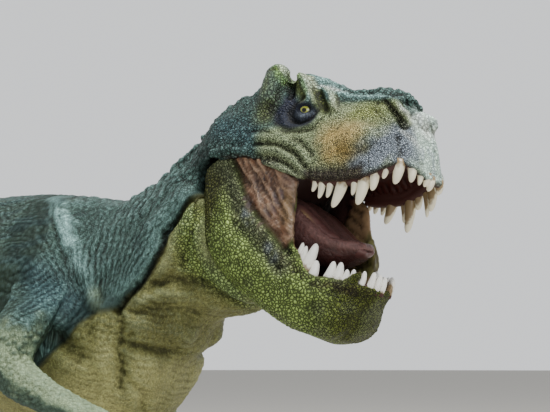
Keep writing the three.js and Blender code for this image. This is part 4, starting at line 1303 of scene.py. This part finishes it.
# %% Upper teeth
# [x of the root, x of the tip, drop of the tip below the lip on the right and on the left, radius]
UPPER_TEETH = [
    (23.3, 22.6, 2.5, 2.6, 1),
    (25.3, 24.4, 4.2, 3.4, 1.15),
    (27.7, 26.8, 4, 3.8, 1.1),
    (31.6, 28, 6.6, 6.4, 1.75),
    (34.3, 34, 3.6, 6.4, 1.05),
    (37.4, 35, 6.2, 9.4, 1.85),
    (39.7, 39.3, 3.8, 4.6, 1.5),
    (42.5, 42.3, 1.9, 8.2, 1.1),
    (45.9, 44.5, 4.2, 8, 1.75),
    (48, 48, 4, 4, 1.45),
    (49.4, 49.2, 3.4, 3.4, 1.05),
    (50.5, 49.9, 2.8, 3.2, 1.25),
    (51, 50.4, 3.2, 3.2, 1.3),
]
UPPER_GUM = [22, 26, 31, 36, 41, 44.5, 46.8, 48.6, 50, 50.8]
upper_teeth, upper_gums = [], []
for root_x, tip_x, right_drop, left_drop, radius in UPPER_TEETH:
    for side, drop in ((-1, right_drop), (1, left_drop)):
        half = max(float(upper_half(root_x)) - 2.5, 1)
        lip = float(upper_lip(root_x))
        root = (root_x + 0.2, side * half, lip + 1.6)
        tip = (tip_x, side * (half + 0.6), float(upper_lip(tip_x)) - drop)
        upper_teeth.append(spike(root, tip, radius, (0.35, 0, 0), HEAD, 0.85, taper=0.12))
        if root_x < 41:
            until = 2.1 / (1.6 + drop)
            upper_gums.append(spike(root, tip, radius * 1.15, (0.3, 0, 0), HEAD, 0.9, until, 0.25))
gum_walls = []
for side, sag, inwards in ((-1, 0.6, 2.7), (1, 3, 3), (1, 1.4, 2.8), (1, -0.2, 2.6)):
    path = [
        (x, side * max(float(upper_half(x)) - inwards, 0.6), float(upper_lip(x)) + sag) for x in UPPER_GUM
    ]
    gum_walls.append(rod(path, [1] + [1.5] * (len(path) - 3) + [1.3, 1], HEAD))
upper_gums.append(smoothed(remeshed(joined(gum_walls[0], gum_walls[1:]), GUM_VOXEL), 6))
upper_teeth = gathered("upper_teeth", upper_teeth, tooth_paint)
upper_gums = gathered("upper_gums", upper_gums, gum_paint)
print("upper teeth:", 2 * len(UPPER_TEETH))

# %% Lower teeth
# [x of the root, x of the tip, rise of the tip above the lip, radius]
LOWER_TEETH = [
    (24.4, 23.6, 3, 1),
    (26, 24.9, 3.8, 1.1),
    (28.1, 27, 7, 1.85),
    (31.2, 29.6, 3.8, 1.6),
    (34.9, 33.7, 4.6, 1.55),
    (37.2, 35.3, 4.2, 1.5),
    (38.9, 37.5, 2.8, 1.2),
    (40.3, 38.8, 3.2, 1.2),
    (42.2, 41, 3.4, 1.15),
    (43.9, 42.7, 3.6, 1.2),
    (45, 43.9, 3.4, 1.2),
    (45.8, 44.8, 3.2, 1.15),
]
LOWER_GUM = [22.6, 26, 29, 32.5, 36.5, 40.5, 43.4, 45.2]
lower_teeth, lower_gums = [], []
for root_x, tip_x, rise, radius in LOWER_TEETH:
    for side in (-1, 1):
        half = max(float(lower_half(root_x)) - 2.1, 0.9)
        root = (root_x, side * half, float(lower_lip(root_x)) - 1.8)
        tip = (tip_x, side * (half + 0.1), float(lower_lip(root_x)) + rise)
        lower_teeth.append(spike(root, tip, radius, (0.3, 0, 0), JAW, 0.85, taper=0.12))
        lower_gums.append(spike(root, tip, radius * 1.2, (0.25, 0, 0), JAW, 0.9, 2.2 / (1.8 + rise), 0.2))
for side in (-1, 1):
    path = [(x, side * max(float(lower_half(x)) - 2.7, 0.6), float(lower_lip(x)) - 1) for x in LOWER_GUM]
    lower_gums.append(rod(path, [1] + [1.5] * (len(path) - 2) + [1], JAW))
lower_teeth = gathered("lower_teeth", lower_teeth, white_tooth_paint)
lower_gums = gathered("lower_gums", lower_gums, gum_paint)
print("lower teeth:", 2 * len(LOWER_TEETH))

# %% [markdown]
# ### The tongue
# It fills the hollow of the jaw as a thick slab whose tip and sides curl up. A disc is drawn out
# along the jaw, its size changed at each step, then subdivided and carved.

# %% Tongue
# [x, height of the middle, half width, half height], in the jaw's frame
TONGUE = [(4, -0.5, 9, 6.6), (10, 0.4, 9.8, 7.2), (15, 0.8, 9.8, 7), (20, 0.6, 9.4, 6.6), (25, 0.6, 8.8, 5.8),
          (28.6, 1.4, 7.8, 5.2), (31.4, 2.8, 6.6, 4.4), (33.6, 4.6, 5, 2.8), (34.8, 5.8, 3.4, 1.3)]
bpy.ops.object.select_all(action="DESELECT")
bpy.ops.mesh.primitive_circle_add(vertices=16, radius=1, fill_type="NGON", rotation=(0, math.pi / 2, 0))
tongue = bpy.context.object
bpy.ops.object.transform_apply(location=False, rotation=True, scale=False)
bpy.ops.object.mode_set(mode="EDIT")
bpy.ops.mesh.select_all(action="SELECT")
bpy.ops.transform.resize(value=(1, TONGUE[0][2], TONGUE[0][3]))
bpy.ops.transform.translate(value=(TONGUE[0][0], 0, TONGUE[0][1]))
for before, after in zip(TONGUE, TONGUE[1:]):
    move = (after[0] - before[0], 0, after[1] - before[1])
    bpy.ops.mesh.extrude_region_move(TRANSFORM_OT_translate={"value": move})
    bpy.ops.transform.resize(value=(1, after[2] / before[2], after[3] / before[3]))
bpy.ops.mesh.select_all(action="SELECT")
bpy.ops.mesh.normals_make_consistent(inside=False)
bpy.ops.object.mode_set(mode="OBJECT")
places = np.array([v.co for v in tongue.data.vertices])
tongue.data.vertices.foreach_set("co", (from_frame(places, JAW) * MM).ravel())
tongue.name = tongue.data.name = "tongue"
modified(tongue, "SUBSURF", levels=3, render_levels=3)
take(tongue)
bpy.ops.object.shade_smooth()
flesh = Skin(tongue)
places = paired(in_frame(flesh.points, JAW))
up_facing = ramp((flesh.normals @ JAW)[:, 2], 0, 0.6)
above = places[:, :2]
groove = stroke(above, [(6, 0), (30, 0)], 5)
rim = stroke(above, [(8, -8.6), (20, -8.4), (27, -7.4), (31, -5.4), (33.4, -1.6), (33.4, 0)], 2.6)
threads = cloud(flesh.points, 2.2)
flesh.push(up_facing * (rim * 1.1 - groove * 1.6) + 0.14 * threads)
flesh.paint[:] = PAINTS["mauve"]
# painted light: the tongue's upward faces lighter; painted shade: its lower front faces dark red and its back
# nearly black
flesh.brush(up_facing, "mauve_light", 0.45)
flesh.brush(ramp(places[:, 0], 20, 30) * (1 - up_facing), "palate_and_painted_shade", 0.7)
flesh.brush(ramp(-places[:, 0], -9, -3), "mouth_painted_shade", 0.6)
weathered(flesh, "mauve_light", 0.7, 0.3)
flesh.grain[:, 2] = 0.5
flesh.grain[:, 3] = 0.6
flesh.keep()
tongue.data.materials.clear()
tongue.data.materials.append(skin_material)
print("the tongue has", len(tongue.data.polygons), "faces")

# %% [markdown]
# ### The eyes
# A glossy ball is set in each socket. Its pole faces the way the animal looks, so that the rings of a
# UV sphere become pupil, iris and rim, and each takes its own paint.

# %% Eyes
EYE_RADIUS = 2.5
GAZE = Vector((0.16, -0.95, -0.1)).normalized()
EYE_RINGS = [(15, "pupil_black"), (45, "iris_yellow"), (53, "iris_edge"), (180, "eye_dark")]
EYE_PAINTS = {
    "pupil_black": (0.004, 0.004, 0.004),
    "iris_yellow": (0.4, 0.44, 0.03),
    "iris_edge": (0.1, 0.12, 0.02),
    "eye_dark": (0.03, 0.035, 0.03),
}
eye_finishes = []
for name, colour in EYE_PAINTS.items():
    material, tree, shader = new_material(name, 0.12, 1.0)
    place = node(tree, "ShaderNodeTexCoord")
    fleck = node(tree, "ShaderNodeTexNoise", in_Scale=2600.0, in_Detail=2.0)
    tree.links.new(place.outputs["Object"], fleck.inputs["Vector"])
    darker = tuple(c * 0.4 for c in colour)
    tint = mixed(tree, "RGBA", fleck.outputs["Fac"], (*darker, 1), (*colour, 1))
    tree.links.new(tint, shader.inputs["Base Color"])
    eye_finishes.append(material)


def eye(name, side):
    bpy.ops.object.select_all(action="DESELECT")
    bpy.ops.mesh.primitive_uv_sphere_add(segments=40, ring_count=36, radius=EYE_RADIUS)
    ball = bpy.context.object
    gaze = Vector((GAZE.x, -side * GAZE.y, GAZE.z))
    turn = np.array(gaze.to_track_quat("Z", "Y").to_matrix())
    shape = np.array([v.co for v in ball.data.vertices])
    centres = np.array([f.center for f in ball.data.polygons])
    tilt = np.degrees(np.arccos(np.clip(centres[:, 2] / np.linalg.norm(centres, axis=1), -1, 1)))
    place = np.array([EYE[0], -side * (EYE[1] + 0.5), EYE[2]])
    ball.data.vertices.foreach_set("co", (from_frame(shape @ turn.T + place, HEAD) * MM).ravel())
    for finish in eye_finishes:
        ball.data.materials.append(finish)
    limits = [limit for limit, _ in EYE_RINGS]
    ball.data.polygons.foreach_set("material_index", np.searchsorted(limits, tilt).astype(np.int32))
    bpy.ops.object.shade_smooth()
    ball.name = ball.data.name = name
    return ball


right_eye, left_eye = eye("right_eye", -1), eye("left_eye", 1)
print("eyes", EYE_RADIUS * 2, "mm across")

# %% [markdown]
# ### Arms, legs and tail
# These were moulded apart and glued on. Each is worked from its measured solid like the body. Its
# glued face is drawn a little way into the body, so that no gap shows at the seam, and the top of an
# arm is pressed flatter, so that it runs into the shoulder.

# %% Limb clay
body_surface = BVHTree.FromObject(frame["nodes"]["body"], bpy.context.evaluated_depsgraph_get())
SEAM_DEPTH = 2.5
SEAM_REACH = 0.9
TAIL_SEAM = 156
ARM_VOXEL, LEG_VOXEL = 0.6, 0.9


def limb_clay(node_name, name, rounds, voxel, flatten=None):
    """The smoothed clay of a limb, its glued face sunk into the body."""
    piece = smoothed(remeshed(clay_from(node_name, name), ROUGH_VOXEL), 4)
    skin = Skin(piece)
    sunk = skin.points.copy()
    for i, point in enumerate(skin.points * MM):
        place, normal, _, distance = body_surface.find_nearest(Vector(point))
        if distance < SEAM_REACH * MM:
            sunk[i] = skin.points[i] - np.array(normal) * SEAM_DEPTH
        elif flatten is not None:
            keep = flatten(skin.points[i])
            on_body = np.array(place) / MM
            sunk[i] = on_body + (skin.points[i] - on_body) * keep
    piece.data.vertices.foreach_set("co", (sunk * MM).ravel())
    piece.data.update()
    return smoothed(remeshed(piece, voxel), rounds)


def coated(skin, large, scaly, streaky):
    """Sets the grain of a limb and gives it the painted skin's material."""
    for column, share in enumerate((large, scaly, streaky)):
        skin.grain[:, column] = share
    skin.keep()
    skin.piece.data.materials.append(skin_material)
    return skin.piece


def limb_coat(piece, pale_part=None):
    """Wrinkles and paint for a limb: teal above and outside, cream below, worn pale on its crests."""
    skin = Skin(piece)
    level = cloud(skin.points, 6, 3)
    pits = cells(skin.points * [1, 1, 0.8], 1.8)
    rings = np.abs(np.sin(np.pi * (skin.points[:, 2] + 3 * level) / 2.6)) - 0.6
    flat = skin.points[:, 2] < 0.6
    heights = 0.2 * rings + 0.24 * (pits - 0.5) + 0.15 * level
    skin.push(np.where(flat, 0, heights))
    top = ramp(skin.normals[:, 2] + 0.5 * level, -0.5, 0.4)
    skin.paint[:] = PAINTS["throat_olive"]
    skin.brush(top, "green_grey")
    skin.dry_brush(np.ones(len(top)), "pale_blue", 0.18)
    skin.brush(ramp(level, 0.05, 0.4), "teal_dark", 0.6)
    if pale_part is not None:
        pale = pale_part(skin)
        skin.brush(pale, "arm_pale", 0.85)
        skin.dry_brush(pale, "cheek_light", 0.3)
    weathered(skin, "pale_blue", 0.8, 0.35)
    return coated(skin, 0.6, 0.6, 0.5)


def arm_coat(piece):
    """An arm: the shoulder's wrinkles and teal on top, pebbled from the elbow on, where painted light makes
    the upper faces pale.
    """
    skin = Skin(piece)
    low = 1 - ramp(skin.points[:, 2], 71, 76)
    level = cloud(skin.points, 5, 3)
    pits = cells(skin.points, 1.7) - 0.45
    skin.push((1 - low) * wrinkles(skin.points) + low * (0.34 * pits + 0.3 * level))
    trunk_coat(skin)
    fore = 1 - ramp(skin.points[:, 2] + 4 * level, 69, 76)
    # painted light: the forearm's upward faces painted pale
    painted_light = ramp(skin.normals[:, 2] + 0.3 * level, -0.35, 0.25)
    skin.brush(fore, "green_grey")
    skin.dry_brush(fore, "arm_pale", 0.1)
    skin.brush(fore * painted_light, "arm_pale", 0.95)
    skin.dry_brush(fore * painted_light, "cheek_light", 0.14)
    weathered(skin, "pale_blue", 0.85, 0.3, 1 - 0.7 * fore)
    return coated(skin, 0.8 - 0.6 * low, 0.3, 0.8 - 0.4 * low)


def tail_coat(piece):
    """The tail carries the wrinkles and the colours of the back on to its tip."""
    skin = Skin(piece)
    skin.push(wrinkles(skin.points))
    trunk_coat(skin)
    past_seam = ramp(-trunk_places(skin.points)[:, 0], TAIL_SEAM, TAIL_SEAM + 6)
    weathered(skin, "pale_blue", 0.8, 0.3, past_seam)
    return coated(skin, 0.15, 0.35, 0.85)


def shoulder(point):
    """How much of its height over the body a point of the arm keeps."""
    return -0.1 + 1.1 * float(ramp(np.array(90 - point[2]), 0, 17))


def knees(skin):
    return 0.5 * stroke(skin.points[:, [0, 2]], [(8, 64), (14, 56)], 14)


right_arm = arm_coat(limb_clay("right_arm", "right_arm_hide", 3, ARM_VOXEL, shoulder))
left_arm = arm_coat(limb_clay("left_arm", "left_arm_hide", 3, ARM_VOXEL, shoulder))
right_leg = limb_coat(limb_clay("right_leg", "right_leg_hide", 4, LEG_VOXEL), knees)
left_leg = limb_coat(limb_clay("left_leg", "left_leg_hide", 4, LEG_VOXEL), knees)
tail = tail_coat(limb_clay("tail", "tail_hide", 4, LEG_VOXEL))
print("limbs and tail made")

# %% [markdown]
# ### Claws
# Two on each hand and three on each foot. They are laid over the plain claws of the measured solids.

# %% Claws
TRUNK_MIDDLE = 4.0
LEVEL = np.eye(3)
HANDS = {-1: (-36, -29.6, 47.4), 1: (-52, -29.8, 41)}
FINGERS = [((7.4, -2.6, -2), (10, -2.8, -8)), ((6.4, 2.6, -4.2), (7.4, 2.8, -10.2))]
FEET = {-1: (-105, -24), 1: (-81, -24)}
TOES = [(24, -11), (29, 0), (24, 11)]


def on_side(point, side):
    """A point drawn for the right side, or its mirror image on the left, from the hinge's foot."""
    x, y, z = point
    across = y if side < 0 else 2 * TRUNK_MIDDLE - y
    return (x, across, z - HINGE[2])


hand_claws, foot_claws = {-1: [], 1: []}, {-1: [], 1: []}
for side in (-1, 1):
    hand = np.array(HANDS[side])
    for knuckle, point in FINGERS:
        root = on_side(hand + knuckle, side)
        tip = on_side(hand + point, side)
        hand_claws[side].append(spike(root, tip, 1.5, (0.9, 0, 0.4), LEVEL, taper=0.5))
    foot_x, foot_y = FEET[side]
    for toe_x, toe_y in TOES:
        root = on_side((foot_x + toe_x * 0.93, foot_y + toe_y * 0.95, 3.6), side)
        tip = on_side((foot_x + toe_x * 1.32, foot_y + toe_y * 1.2, 0.9), side)
        foot_claws[side].append(spike(root, tip, 2.6, (0, 0, 1.2), LEVEL, taper=0.4))
right_hand_claws = gathered("right_hand_claws", hand_claws[-1], claw_paint)
left_hand_claws = gathered("left_hand_claws", hand_claws[1], claw_paint)
right_foot_claws = gathered("right_foot_claws", foot_claws[-1], claw_paint)
left_foot_claws = gathered("left_foot_claws", foot_claws[1], claw_paint)
bpy.data.objects.remove(blank)
print("claws made")

# %% [markdown]
# ### What moves with what
# The lower jaw turns on its hinge and takes its teeth, gums and tongue with it. All the rest is the
# figure.

# %% Riding on the model's bodies
for piece in (body_hide, head_hide, back_hide, upper_teeth, upper_gums, right_eye, left_eye,
              right_arm, left_arm, right_leg, left_leg, tail,
              right_hand_claws, left_hand_claws, right_foot_claws, left_foot_claws):
    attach(piece, "figure")
for piece in (jaw_hide, lower_teeth, lower_gums, tongue):
    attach(piece, "jaw")
STANDS_FOR = {
    "body": (body_hide, "body_hide"),
    "lower_jaw": (jaw_hide, "jaw_hide"),
    "right_arm": (right_arm, "arm_hide"),
    "left_arm": (left_arm, "arm_hide"),
    "right_leg": (right_leg, "leg_hide"),
    "left_leg": (left_leg, "leg_hide"),
    "tail": (tail, "tail_hide"),
}
for node_name, (piece, finish) in STANDS_FOR.items():
    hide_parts(node_name)
for piece in (head_hide, back_hide):
    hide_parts("body")
print(len(STANDS_FOR), "measured solids are stood for")

# %% [markdown]
# ### Floor and light
# A plain pale floor under a pale sky that is brightest behind the figure. A broad soft lamp overhead
# gives the light on the crown and the shade under the jaw, and a weaker one near the camera opens the
# shadows.

# %% Studio
bpy.ops.object.select_all(action="DESELECT")
bpy.ops.mesh.primitive_circle_add(vertices=96, radius=6, fill_type="NGON")
floor = bpy.context.object
floor.name = floor.data.name = "floor"
floor_material, _, floor_shader = new_material("floor_paint", 0.9)
floor_shader.inputs["Base Color"].default_value = (0.5, 0.48, 0.44, 1)
floor.data.materials.append(floor_material)

world = bpy.data.worlds.new("studio")
bpy.context.scene.world = world
world.use_nodes = True
sky = world.node_tree
view_way = node(sky, "ShaderNodeTexCoord")
facing = node(sky, "ShaderNodeVectorMath", operation="DOT_PRODUCT")
sky.links.new(view_way.outputs["Generated"], facing.inputs[0])
facing.inputs[1].default_value = Vector((-0.3, 0.9, 0.3)).normalized()
brightness = ranged(sky, facing.outputs["Value"], -0.6, 0.8, 0.32, 1.05)
background = sky.nodes["Background"]
background.inputs["Color"].default_value = (0.93, 0.95, 0.97, 1)
sky.links.new(brightness, background.inputs["Strength"])


def lamp(name, place, target, size, watts, colour):
    light = bpy.data.objects.new(name, bpy.data.lights.new(name, "AREA"))
    light.data.shape = "DISK"
    light.data.size = size
    light.data.energy = watts
    light.data.color = colour
    light.location = place
    light.rotation_euler = (Vector(target) - Vector(place)).to_track_quat("-Z", "Y").to_euler()
    bpy.context.scene.collection.objects.link(light)


HEAD_MIDDLE = (0.12, 0, 0.11)
lamp("overhead", (0.36, -0.16, 0.9), HEAD_MIDDLE, 0.36, 13, (1, 0.98, 0.94))
lamp("fill", (0.5, -0.75, 0.3), HEAD_MIDDLE, 0.5, 2.4, (0.95, 0.97, 1))
print("two lamps")
